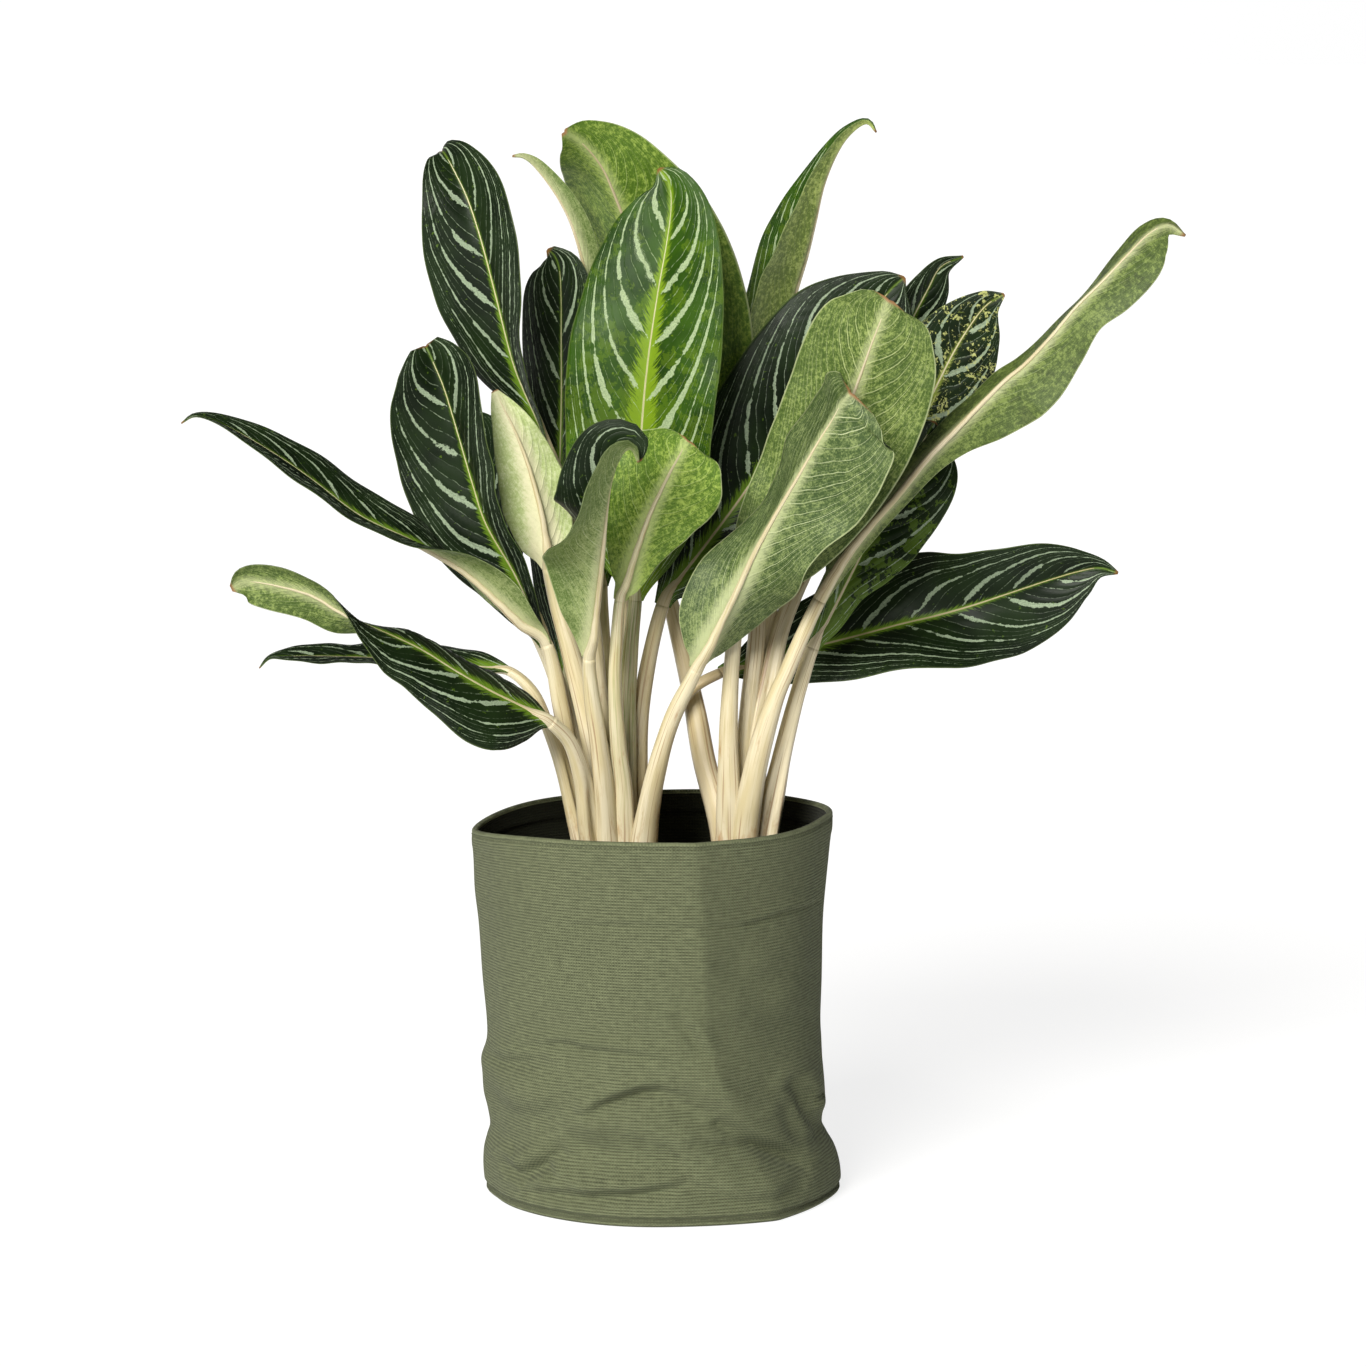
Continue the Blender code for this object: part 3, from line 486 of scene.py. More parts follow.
def top_finish(name, base, shade, glow, glow_width, stripe, stripe_width=0.27, specks=0.0, patches=0.0):
    """A blade's top: dark green with feathery silver stripes along the veins and a lighter midrib."""
    f = Finish(name, 0.40, Specular_IOR_Level=0.13)
    c = blade_coordinates(f)
    fine = f.noise(c["place"], 0.55, 3.0, 0.6)
    broad = f.noise(c["place"], 0.045, 2.0)
    feather = f.noise(f.vector(f.times(c["count"], 7.0), f.times(c["off_rib"], 0.10), c["seed"]), 1.0, 3.0, 0.65)
    colour = f.mix(f.step(broad, 0.3, 0.7), base, shade)
    # the glow along the midrib, feathered out along the veins and gone towards the tip
    fading = f.math("MULTIPLY_ADD", f.step(c["share"], 0.95, 0.05), 1.5 * glow_width, 0.25 * glow_width)
    reach = f.times(fading, f.math("MULTIPLY_ADD", feather, 2.6, -0.55))
    near_rib = f.step(f.less(reach, c["off_rib"]), -0.8, 2.2)
    colour = f.mix(f.times(near_rib, 0.85), colour, glow)
    if patches:
        blot = f.step(f.add(f.noise(c["place"], 0.11, 4.0, 0.7), f.times(c["share"], -0.25)), 0.36, 0.39)
        colour = f.mix(f.times(blot, patches), colour, glow)
    flecks = f.step(f.add(f.noise(c["place"], 0.24, 4.0, 0.72), f.times(near_rib, 0.05)), 0.645, 0.675)
    colour = f.mix(f.times(flecks, 0.45), colour, glow)
    # stripes, widest between midrib and margin, with torn edges
    body = f.times(f.step(c["side"], 0.02, 0.20), f.step(c["side"], 1.0, 0.75))
    torn = f.times(f.less(f.noise(c["place"], 0.42, 4.0, 0.72), 0.5), 0.66)
    wide = f.times(f.times(c["heavy"], f.add(0.55, f.times(c["luck"], 0.6))), stripe_width)
    wide = f.times(f.times(wide, body), f.step(f.noise(c["place"], 0.09, 2.0), 0.30, 0.50))
    heavy = f.times(f.step(f.less(wide, f.add(c["off_vein"], torn)), -0.012, 0.02), f.math("GREATER_THAN", wide, 0.01))
    thin_width = f.times(f.times(0.030, f.step(c["side"], 0.02, 0.12)), f.step(c["side"], 1.0, 0.85))
    thin = f.step(f.less(thin_width, f.add(c["off_vein"], f.times(torn, 0.10))), -0.012, 0.012)
    thin = f.times(thin, f.times(f.step(fine, 0.38, 0.58), f.add(0.15, f.times(c["luck"], 0.7))))
    stripes = f.math("MAXIMUM", heavy, thin)
    streaked = f.mix(f.step(f.noise(c["place"], 1.2, 2.0), 0.35, 0.7), stripe, tuple(0.66 * v for v in stripe))
    colour = f.mix(f.times(stripes, 0.92), colour, streaked)
    if specks:
        dots = f.step(f.noise(c["place"], 0.30, 4.0, 0.75), 0.57, 0.60)
        colour = f.mix(f.times(dots, specks), colour, seen(196, 200, 122))
    rib = f.step(f.less(f.math("MULTIPLY_ADD", c["share"], -0.8, 1.15), c["off_rib"]), -0.25, 0.25)
    colour = f.mix(f.times(rib, f.math("MULTIPLY_ADD", f.step(c["share"], 1.0, 0.2), 0.60, 0.22)), colour, seen(150, 180, 84))
    colour = f.mix(f.times(f.step(c["side"], 0.976, 0.994), 0.4), colour, seen(120, 140, 80))
    colour = f.mix(f.step(c["share"], 0.988, 0.998), colour, seen(140, 100, 55))
    f.colour(colour)
    grain = f.add(f.times(f.noise(c["place"], 1.6, 3.0), 0.5), f.times(f.step(c["off_vein"], 0.10, 0.0), -0.8))
    f.bump(grain, 0.35, 0.0004)
    return f.material


def under_finish(name, base, mottle, pale, rib, amount=1.0, blotches=0.0, rib_width=3.2, veins=0.5, marble=0.35):
    """A blade's underside: pale and finely dappled with green, paler along its veins and midrib."""
    f = Finish(name, 0.52, Specular_IOR_Level=0.28)
    c = blade_coordinates(f)
    skew = f.vector(f.times(c["count"], 6.0), f.times(c["off_rib"], 0.22), c["seed"])
    streaks = f.noise(skew, 1.0, 4.0, 0.7)
    dapple = f.noise(c["place"], 0.85, 3.0, 0.75)
    clouds = f.noise(c["place"], 0.055, 3.0, 0.6)
    # green gathers away from the midrib, towards the margin and the tip
    away = f.step(f.less(c["off_rib"], f.math("MULTIPLY_ADD", c["share"], -16.0, 15.0)), -9.0, 12.0)
    level = f.add(f.times(away, 0.20), f.times(f.less(clouds, 0.5), 0.55))
    level = f.add(f.add(level, f.times(f.less(streaks, 0.5), 0.75)), f.times(f.less(dapple, 0.5), 0.95))
    level = f.add(level, f.times(f.less(f.noise(c["place"], 0.34, 4.0, 0.75), 0.5), 2.2 * marble))
    colour = f.mix(f.times(f.step(level, -0.16, 0.30), amount), base, mottle)
    colour = f.mix(f.times(f.step(level, 0.22, 0.5), 0.5 * amount), colour, tuple(0.6 * v for v in mottle))
    if blotches:
        blot = f.step(f.noise(c["place"], 0.05, 4.0, 0.65), 0.58, 0.61)
        colour = f.mix(f.times(blot, blotches), colour, tuple(0.45 * v for v in mottle))
    thin = f.step(f.less(0.036, f.add(c["off_vein"], f.times(f.less(dapple, 0.5), 0.05))), -0.012, 0.014)
    half = f.math("ABSOLUTE", f.less(f.math("FRACT", f.times(c["count"], 2.0)), 0.5))
    finer = f.step(f.less(0.034, f.add(half, f.times(f.less(dapple, 0.5), 0.10))), -0.015, 0.015)
    vein = f.math("MAXIMUM", f.times(thin, f.add(0.35, f.times(c["luck"], 0.65))), f.times(finer, f.times(c["luck"], 0.55)))
    vein = f.times(f.times(vein, f.step(c["side"], 1.0, 0.86)), f.step(streaks, 0.30, 0.52))
    colour = f.mix(f.times(vein, veins), colour, pale)
    half_rib = f.math("MULTIPLY_ADD", c["share"], -rib_width * 1.5, rib_width * 1.7)
    halo = f.step(f.less(half_rib, f.add(c["off_rib"], f.times(f.less(streaks, 0.5), 9.0))), -5.0, 2.5)
    colour = f.mix(f.times(halo, 0.7), colour, rib)
    colour = f.mix(f.times(f.step(c["side"], 0.972, 0.990), 0.7), colour, seen(196, 206, 152))
    colour = f.mix(f.step(c["share"], 0.988, 0.998), colour, seen(150, 112, 72))
    f.colour(colour)
    height = f.add(f.times(f.noise(c["place"], 1.3, 3.0), 0.5), f.times(f.step(c["off_vein"], 0.10, 0.0), 0.9))
    f.bump(height, 0.4, 0.0004)
    return f.material


def stalk_finish():
    """Cream stalks with fine lengthwise streaks, greener or browner by the leaf, stained at the foot."""
    f = Finish("stalk_skin", 0.42, Specular_IOR_Level=0.4)
    along, around, seed = f.parts("strand")
    green, brown, up = f.parts("tint")
    lines = f.vector(f.times(along, 0.035), around, seed)
    fine = f.noise(lines, 1.1, 3.0, 0.6)
    broad = f.noise(f.vector(f.times(along, 0.02), f.times(around, 0.12), seed), 1.0, 2.0)
    colour = f.mix(f.step(broad, 0.35, 0.7), seen(232, 220, 186), seen(216, 200, 154))
    colour = f.mix(f.times(f.step(fine, 0.5, 0.72), 0.5), colour, seen(184, 166, 116))
    colour = f.mix(f.times(green, f.step(fine, 0.25, 0.75)), colour, seen(122, 150, 62))
    stain = f.noise(f.vector(f.times(along, 0.05), f.times(around, 0.16), seed), 1.0, 4.0, 0.65)
    foot = f.step(up, 238.0, 172.0)
    colour = f.mix(f.times(f.step(f.add(stain, f.times(foot, 0.26)), 0.58, 0.80), 0.7), colour, seen(176, 126, 74))
    threads = f.step(f.noise(f.vector(f.times(along, 0.012), f.times(around, 0.8), seed), 1.0, 2.0, 0.4), 0.61, 0.66)
    colour = f.mix(f.times(threads, 0.6), colour, seen(150, 106, 70))
    colour = f.mix(f.times(brown, 0.8), colour, seen(172, 138, 92))
    colour = f.mix(f.times(f.step(up, 186.0, 170.0), 0.7), colour, seen(120, 84, 52))
    f.colour(colour)
    f.bump(fine, 0.35, 0.0004)
    return f.material


def simple_finish(name, roughness, dark, light, scale, bump, distance=0.0006, **shader):
    """A finish that varies between two colours by noise, with the same noise as bump."""
    f = Finish(name, roughness, **shader)
    noise = f.noise(f.position(), scale, 5.0, 0.65)
    f.colour(f.mix(f.step(noise, 0.3, 0.7), dark, light))
    f.bump(noise, bump, distance)
    return f.material


def canvas_finish(name, lit):
    """Olive canvas in plain weave: crossing yarns of uneven thickness and colour."""
    f = Finish(name, 0.92, Specular_IOR_Level=0.15, Sheen_Weight=0.03, Sheen_Roughness=0.5)
    across, up, _ = f.parts("cloth")
    weft_slub = f.noise(f.vector(f.times(across, 0.14), f.times(up, 1.3), 0.0), 1.0, 4.0, 0.65)
    warp_slub = f.noise(f.vector(f.times(across, 1.1), f.times(up, 0.09), 5.0), 1.0, 3.0, 0.6)
    turn = 2 * math.pi / WEAVE_PITCH
    drift = f.times(f.noise(f.vector(f.times(across, 0.03), f.times(up, 0.03), 8.0), 1.0, 1.0), 0.5)
    weft = f.math("SINE", f.times(f.add(f.add(up, f.times(weft_slub, 0.5)), drift), turn))
    warp = f.math("SINE", f.times(f.add(across, f.times(warp_slub, 0.6)), turn))
    height = f.add(f.times(weft, 0.36), f.times(f.times(weft, warp), 0.34))
    height = f.add(height, f.add(f.times(f.less(weft_slub, 0.5), 2.0), f.times(f.less(warp_slub, 0.5), 0.8)))
    broad = f.noise(f.vector(f.times(across, 0.02), f.times(up, 0.02), 2.0), 1.0, 3.0)
    colour = f.mix(f.step(height, -0.8, 0.8), tuple(0.48 * v for v in lit), tuple(1.55 * v for v in lit))
    colour = f.mix(f.times(f.step(broad, 0.35, 0.7), 0.22), colour, tuple(0.8 * v for v in lit))
    fibres = f.step(f.noise(f.vector(across, up, 9.0), 2.0, 3.0, 0.7), 0.58, 0.72)
    colour = f.mix(f.times(fibres, 0.16), colour, seen(150, 155, 112))
    f.colour(colour)
    f.bump(height, 0.7, 0.0006)
    return f.material


def smooth_path(points, steps=PATH_STEPS):
    """Dense rows on a smooth curve through rows of numbers (Catmull-Rom)."""
    p = np.asarray(points, float)
    p = np.vstack([2 * p[0] - p[1], p, 2 * p[-1] - p[-2]])
    t = np.linspace(0, 1, steps, endpoint=False)[:, None]
    rows = [
        0.5 * (2 * b + (c - a) * t + (2 * a - 5 * b + 4 * c - d) * t**2 + (3 * b - a - 3 * c + d) * t**3)
        for a, b, c, d in zip(p, p[1:], p[2:], p[3:])
    ]
    return np.vstack([*rows, p[-2:-1]])


def unit(vectors):
    return vectors / np.linalg.norm(vectors, axis=-1, keepdims=True)


def resampled(rows, shares):
    """Rows at the given shares of a path's length, the path's directions there, and its length."""
    steps = np.linalg.norm(np.diff(rows[:, :3], axis=0), axis=1)
    length = np.concatenate([[0], np.cumsum(steps)])
    ways = np.gradient(rows[:, :3], length, axis=0)
    at = np.asarray(shares) * length[-1]
    found = np.stack([np.interp(at, length, column) for column in rows.T], axis=1)
    way = np.stack([np.interp(at, length, column) for column in ways.T], axis=1)
    return found, unit(way), length[-1]


def placed(x, y, z):
    """A measured point in mm: x and z as seen in the plane y = 0, moved to its own y."""
    scale = 1 + y / -VIEWPOINT[1]
    return VIEWPOINT[0] + (x - VIEWPOINT[0]) * scale, y, VIEWPOINT[2] + (z - VIEWPOINT[2]) * scale


def leaf_path(leaf):
    """The dense rows (x, y, z, roll, half width) of a leaf's stalk and of its blade, in mm."""
    _, _, _, roll, half = leaf.blade[0]
    start = (*leaf.stalk[0], STALK_START)
    rows = [(*placed(*p), roll, half) for p in [start, *leaf.stalk[1:]]]
    rows += [(*placed(*p[:3]), *p[3:]) for p in leaf.blade]
    dense = smooth_path(rows)
    collar = len(leaf.stalk) * PATH_STEPS
    return dense[: collar + 1], dense[collar:]


def frames(way, roll):
    """Across and up directions of a leaf along its path: up is the side that faces the viewer."""
    facing = TOWARDS_VIEWER - (way @ TOWARDS_VIEWER)[:, None] * way
    facing = unit(facing)
    side = np.cross(way, facing)
    turn = np.radians(roll)[:, None]
    return np.cos(turn) * side + np.sin(turn) * facing, np.cos(turn) * facing - np.sin(turn) * side


def smoothstep(value):
    value = np.clip(value, 0, 1)
    return value * value * (3 - 2 * value)


def blade_points(leaf, seed):
    """The blade's middle surface (row, column, xyz) in mm, its columns, shares, places and length."""
    shares = np.linspace(0, 1, BLADE_ROWS)
    rows, way, length = resampled(leaf_path(leaf)[1], shares)
    across_way, up_way = frames(way, rows[:, 3])
    width = rows[:, 4:5]
    u = np.linspace(0, 1, HALF_COLUMNS + 1) ** 0.92
    fold = leaf.top * math.radians(leaf.fold) * smoothstep(u / FOLD_WIDTH)
    angle = fold - leaf.top * math.radians(leaf.curl) * u
    steps = np.diff(u)
    reach = np.concatenate([[0], np.cumsum(steps * (np.cos(angle[1:]) + np.cos(angle[:-1])) / 2)])
    rise = np.concatenate([[0], np.cumsum(steps * (np.sin(angle[1:]) + np.sin(angle[:-1])) / 2)])
    share = shares[:, None]
    halves = []
    for hand in (-1, 1):
        across = hand * width * reach[None]
        up = width * rise[None]
        ripple = np.sin(2 * math.pi * (leaf.waves * share + leaf.phase) + hand)
        small = 0.3 * np.sin(2 * math.pi * (2.7 * leaf.waves * share + 0.37 * seed) + 2 * hand)
        lift = leaf.wave * u[None] ** 2 * np.sin(math.pi * share) * (ripple + small)
        across = across - hand * lift * np.sin(angle)[None]
        up = up + lift * np.cos(angle)[None]
        halves.append(rows[:, None, :3] + across[..., None] * across_way[:, None] + up[..., None] * up_way[:, None])
    points = np.concatenate([halves[0][:, :0:-1], halves[1]], axis=1)
    columns = np.concatenate([-u[:0:-1], u])
    return points, columns, shares, width, length


def vein_count(columns, shares, length):
    """How many veins lie between the collar and each point. Veins run out and on towards the tip."""
    side = np.abs(columns)[None]
    advance = 0.24 * side + 0.50 * side**4
    return (shares[:, None] - advance * (1 - 0.35 * shares[:, None])) * length / VEIN_SPACING + 20


def normals_of(points):
    along = np.gradient(points, axis=0)
    across = np.gradient(points, axis=1)
    return unit(np.cross(across, along))


def set_vectors(mesh, name, values):
    data = mesh.attributes.new(name, "FLOAT_VECTOR", "POINT")
    data.data.foreach_set("vector", np.asarray(values, np.float32).ravel())


def piece_from(name, points, faces, materials, slots=None, **vectors):
    """A smooth-shaded object from points in mm, with vector attributes and material slots by face."""
    mesh = bpy.data.meshes.new(name)
    points = np.asarray(points, float) * MM
    faces = [np.asarray(f, np.int64) for f in faces]
    mesh.from_pydata(points.tolist(), [], [f.tolist() for f in faces])
    for material in materials:
        mesh.materials.append(material)
    if slots is not None:
        mesh.polygons.foreach_set("material_index", np.asarray(slots, np.int32))
    mesh.polygons.foreach_set("use_smooth", np.ones(len(faces), bool))
    for attribute, values in vectors.items():
        set_vectors(mesh, attribute, values)
    mesh.update()
    made = bpy.data.objects.new(name, mesh)
    bpy.context.scene.collection.objects.link(made)
    return made


def grid_faces(rows, columns, start=0, closed=False):
    """Quads of a grid of points, closed across the columns where it is a tube."""
    i, j = np.meshgrid(np.arange(rows - 1), np.arange(columns if closed else columns - 1), indexing="ij")
    a = start + i * columns + j
    b = start + i * columns + (j + 1) % columns
    return np.stack([a, b, b + columns, a + columns], axis=-1).reshape(-1, 4)


def tube(rings, start=0):
    """Points and faces of a tube through rings of points, with a point in the middle of each end."""
    count, sides, _ = rings.shape
    points = np.vstack([rings.reshape(-1, 3), rings[0].mean(0), rings[-1].mean(0)])
    faces = [tuple(f) for f in grid_faces(count, sides, start, closed=True)]
    first, last = start + count * sides, start + count * sides + 1
    end = start + (count - 1) * sides
    faces += [(start + (k + 1) % sides, start + k, first) for k in range(sides)]
    faces += [(end + k, end + (k + 1) % sides, last) for k in range(sides)]
    return points, faces


def stalk_tint(leaf):
    return STALK_TINTS.get(leaf.name, (0.0, 0.0))


def rib_rings(leaf, seed, points, normals, length, shares):
    """Rings of the rib that carries the stalk on under the blade, and their strand coordinates."""
    middle = HALF_COLUMNS
    keep = shares <= 0.95
    centre = points[keep, middle]
    share = shares[keep]
    start = STALK_RADII[2] * leaf.thick
    radius = np.interp(share, (0, 0.06, 0.18, 0.5, 0.8, 0.95), (start, 0.80 * start, 2.0, 1.35, 0.75, 0.35))
    sink = radius * 0.80 * smoothstep(share / 0.10)
    top = leaf.top * unit(normals[keep, middle])
    way = unit(np.gradient(centre, axis=0))
    out = leaf.top * unit(np.cross(way, top))
    angle = np.linspace(0, 2 * math.pi, RIB_SIDES, endpoint=False)
    centre = centre - sink[:, None] * top
    # one more ring, inside the stalk's end, hides the joint
    centre = np.vstack([centre[0] - 2.5 * way[0], centre])
    out, top = np.vstack([out[:1], out]), np.vstack([top[:1], top])
    radius = np.concatenate([[0.90 * start], radius])
    share = np.concatenate([[-2.5 / length], share])
    rings = (centre[:, None] + radius[:, None, None] * (np.cos(angle)[None, :, None] * out[:, None]
             + 0.9 * np.sin(angle)[None, :, None] * top[:, None]))
    strand = np.zeros((len(share), RIB_SIDES, 3))
    strand[..., 0] = share[:, None] * length
    strand[..., 1] = np.abs(angle[None] - math.pi) * STALK_RADII[2] * 1.6
    strand[..., 2] = seed * 7.3
    return rings, strand


def make_leaf(leaf, seed, finishes):
    """One blade with its rib: a thin closed shell, quilted between its veins, and a rib under it."""
    points, columns, shares, width, length = blade_points(leaf, seed)
    rows, count = points.shape[:2]
    veins = vein_count(columns, shares, length)
    normals = leaf.top * normals_of(points)
    inner = np.sin(math.pi * np.clip(np.abs(columns)[None], 0, 1)) ** 0.7 * np.minimum(1, width / 20)
    quilt = -(0.34 if leaf.top == 1 else 0.16) * np.cos(2 * math.pi * (veins + 0.215 * (columns[None] > 0) * 2 - 0.5)) * inner
    quilt *= smoothstep(np.minimum(shares, 1 - shares) / 0.06)[:, None]
    body = points + quilt[..., None] * normals
    normals = leaf.top * normals_of(body)
    thin = BLADE_HALF_THICKNESS * (1 - 0.55 * np.abs(columns)[None, :, None] ** 4)
    groove = 0.45 * np.exp(-((columns[None, :, None] * width[..., None] / 1.6) ** 2))
    upper = body + normals * (thin - groove)
    lower = body - normals * (thin + 0.5 * groove)
    total = rows * count
    top_faces = grid_faces(rows, count)
    under_faces = grid_faces(rows, count, total)
    if leaf.top == 1:
        under_faces = under_faces[:, ::-1]
    else:
        top_faces = top_faces[:, ::-1]
    rim = np.concatenate([
        np.arange(0, count), np.arange(1, rows) * count + count - 1,
        (rows - 1) * count + np.arange(count - 2, -1, -1), np.arange(rows - 2, 0, -1) * count,
    ])
    after = np.roll(rim, -1)
    rim_faces = np.stack([rim, rim + total, after + total, after], axis=1)
    if leaf.top != 1:
        rim_faces = rim_faces[:, ::-1]
    place = np.zeros((rows, count, 3))
    place[..., 0] = shares[:, None]
    place[..., 1] = columns[None]
    place[..., 2] = seed
    metric = np.zeros((rows, count, 3))
    metric[..., 0] = shares[:, None] * length
    metric[..., 1] = columns[None] * width
    metric[..., 2] = veins
    rings, strand = rib_rings(leaf, seed, body, normals_of(body), length, shares)
    rib_points, rib_faces = tube(rings, 2 * total)
    extra = len(rib_points)
    strand = np.vstack([strand.reshape(-1, 3), strand[0].mean(0), strand[-1].mean(0)])
    green, brown = stalk_tint(leaf)
    tint = np.zeros((2 * total + extra, 3))
    tint[:] = (max(green, 0.12), brown, 400.0)
    blank = np.zeros((extra, 3))
    faces = [*top_faces, *rim_faces, *under_faces, *[np.array(f) for f in rib_faces]]
    slots = [0] * (len(top_faces) + len(rim_faces)) + [1] * len(under_faces) + [2] * len(rib_faces)
    top_name, under_name = FINISHES.get(leaf.name, ("top_dark", "under_pale"))
    made = piece_from(
        leaf.name + "_blade",
        np.vstack([upper.reshape(-1, 3), lower.reshape(-1, 3), rib_points]),
        faces,
        [finishes[top_name], finishes[under_name], finishes["stalk"]],
        slots,
        place=np.vstack([place.reshape(-1, 3)] * 2 + [blank]),
        metric=np.vstack([metric.reshape(-1, 3)] * 2 + [blank]),
        strand=np.vstack([np.zeros((2 * total, 3)), strand]),
        tint=tint,
    )
    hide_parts(leaf.name)
    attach(made, "root")


def stalk_rings(leaf, seed):
    """Rings of one stalk: a tapering sheath with a channel on its upper side, and their attributes."""
    rows, _ = leaf_path(leaf)
    first = rows[0].copy()
    first[:3] -= 10 * unit(rows[3, :3] - rows[0, :3])
    rows = np.vstack([first, rows])
    shares = np.linspace(0, 1, STALK_RINGS)
    found, way, length = resampled(rows, shares)
    out, up = frames(way, found[:, 3])
    up = leaf.top * up
    radius = np.interp(shares, (0, 0.06, 0.55, 1), (STALK_RADII[0] * 0.9, *STALK_RADII)) * leaf.thick
    plain = smoothstep((1 - shares) / 0.12)
    swell = 1 + plain * (0.03 * np.sin(9 * shares + seed) + 0.02 * np.sin(23 * shares + 2 * seed))
    radius = radius * swell
    sheath = smoothstep((0.72 - shares) / 0.25)[:, None]
    angle = np.linspace(0, 2 * math.pi, STALK_SIDES, endpoint=False)[None]
    off_top = np.abs((angle - math.pi / 2 + math.pi) % (2 * math.pi) - math.pi)
    rough = plain[:, None]
    channel = (0.10 * rough + 0.36 * sheath) * np.exp(-((off_top / 0.36) ** 2))
    lips = (0.03 * rough + 0.12 * sheath) * np.exp(-(((off_top - 0.72) / 0.20) ** 2))
    ridges = 0.014 * rough * (np.cos(9 * angle + seed) + 0.6 * np.cos(14 * angle + 2 * seed))
    size = (1 - channel + lips + ridges) * radius[:, None]
    flat = 1.0 + 0.12 * sheath
    ring = (found[:, None, :3] + (flat * size * np.cos(angle))[..., None] * out[:, None]
            + ((1 - 0.1 * (1 - rough)) * size * np.sin(angle) / flat)[..., None] * up[:, None])
    strand = np.zeros((STALK_RINGS, STALK_SIDES, 3))
    strand[..., 0] = (shares[:, None] - 1) * length
    strand[..., 1] = (np.abs(angle - math.pi)) * STALK_RADII[2] * 1.6
    strand[..., 2] = seed * 7.3
    tint = np.zeros((STALK_RINGS, STALK_SIDES, 3))
    green, brown = stalk_tint(leaf)
    tint[..., 0] = max(green, 0.0) * smoothstep((shares[:, None] - 0.15) / 0.5) + 0.12 * smoothstep((shares[:, None] - 0.6) / 0.4)
    tint[..., 1] = brown
    tint[..., 2] = ring[..., 2]
    return ring, strand, tint


def dome(middle_x, middle_y, half_width, half_depth, top, seed):
    """Rings of a crown: a low ridged dome that the stalks grow out of."""
    heights = np.linspace(0, 1, 14)
    angle = np.linspace(0, 2 * math.pi, STALK_SIDES, endpoint=False)
    rings = []
    for height in heights:
        size = math.cos(height * math.pi / 2 * 0.94) ** 0.55
        ridge = 1 + 0.04 * math.sin(26 * height + seed)
        lump = 1 + 0.04 * np.cos(5 * angle + seed)
        rings.append(np.stack([
            middle_x + half_width * size * ridge * lump * np.cos(angle),
            middle_y + half_depth * size * ridge * lump * np.sin(angle),
            np.full_like(angle, SOIL_TOP - 16 + (top - SOIL_TOP + 16) * height),
        ], axis=1))
    return np.array(rings)


def make_stalks(clump, finishes):
    """All stalks of one clump, their crown and a few dry sheaths at their foot, as one piece."""
    points, faces, strands, tints, slots = [], [], [], [], []
    start = 0

    def keep(rings, strand, tint, slot):
        nonlocal start
        more, more_faces = tube(rings, start)
        points.append(more)
        faces.extend(more_faces)
        for bucket, values in ((strands, strand), (tints, tint)):
            bucket.append(np.vstack([values.reshape(-1, 3), values[0].mean(0), values[-1].mean(0)]))
        slots.extend([slot] * len(more_faces))
        start += len(more)

    for number, leaf in enumerate(LEAVES):
        if leaf.clump == clump:
            keep(*stalk_rings(leaf, number + 1), 0)
    x, y, half_width, half_depth = CROWNS[clump]
    rings = dome(x, y, half_width, half_depth, SOIL_TOP + 10, len(clump))
    strand = rings * 1.0
    tint = np.zeros_like(rings)
    tint[..., 1] = 0.8
    tint[..., 2] = 176
    keep(rings, strand, tint, 0)
    for angle, reach, tall, lean in SHEATHS[clump]:
        rings = sheath_rings(x, y, half_width, half_depth, angle, reach, tall, lean)
        keep(rings, rings * 1.0, np.zeros_like(rings), 1)
    made = piece_from("stalks_" + clump + "_skin", np.vstack(points), faces, [finishes["stalk"], finishes["sheath"]],
                      slots, strand=np.vstack(strands), tint=np.vstack(tints))
    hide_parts("stalks_" + clump)
    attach(made, "root")


# Dry sheaths at the foot of each clump: direction in degrees, half width, height and lean in mm.
SHEATHS = {
    "left": [(205, 5.0, 26, 9), (262, 4.2, 16, 5), (118, 5.5, 22, 8), (40, 4.0, 15, 6)],
    "right": [(235, 4.6, 17, 5), (75, 5.2, 22, 8), (330, 4.2, 15, 6)],
}


def sheath_rings(x, y, half_width, half_depth, direction, reach, tall, lean):
    """Rings of a dry papery sheath: a thin strip, cupped round the clump and curling out at its tip."""
    turn = math.radians(direction)
    out = np.array((math.cos(turn), math.sin(turn), 0))
    side = np.array((-math.sin(turn), math.cos(turn), 0))
    foot = np.array((x + half_width * out[0] * 0.98, y + half_depth * out[1] * 0.98, SOIL_TOP - 3))
    cup = np.linspace(-1, 1, 9)
    rings = []
    for share in np.linspace(0, 1, 16):
        half = reach * (1 - share**2.2) + 0.4
        centre = foot + out * lean * share**2 * 0.9 + np.array((0, 0, tall * share))
        wave = 0.5 * math.sin(9 * share + direction)
        inner = [centre + side * half * c - out * (0.9 * half * c * c - wave * c) for c in cup]
        outer = [p + out * 0.45 for p in inner]
        rings.append(np.array(outer + inner[::-1]))
    return np.array(rings)


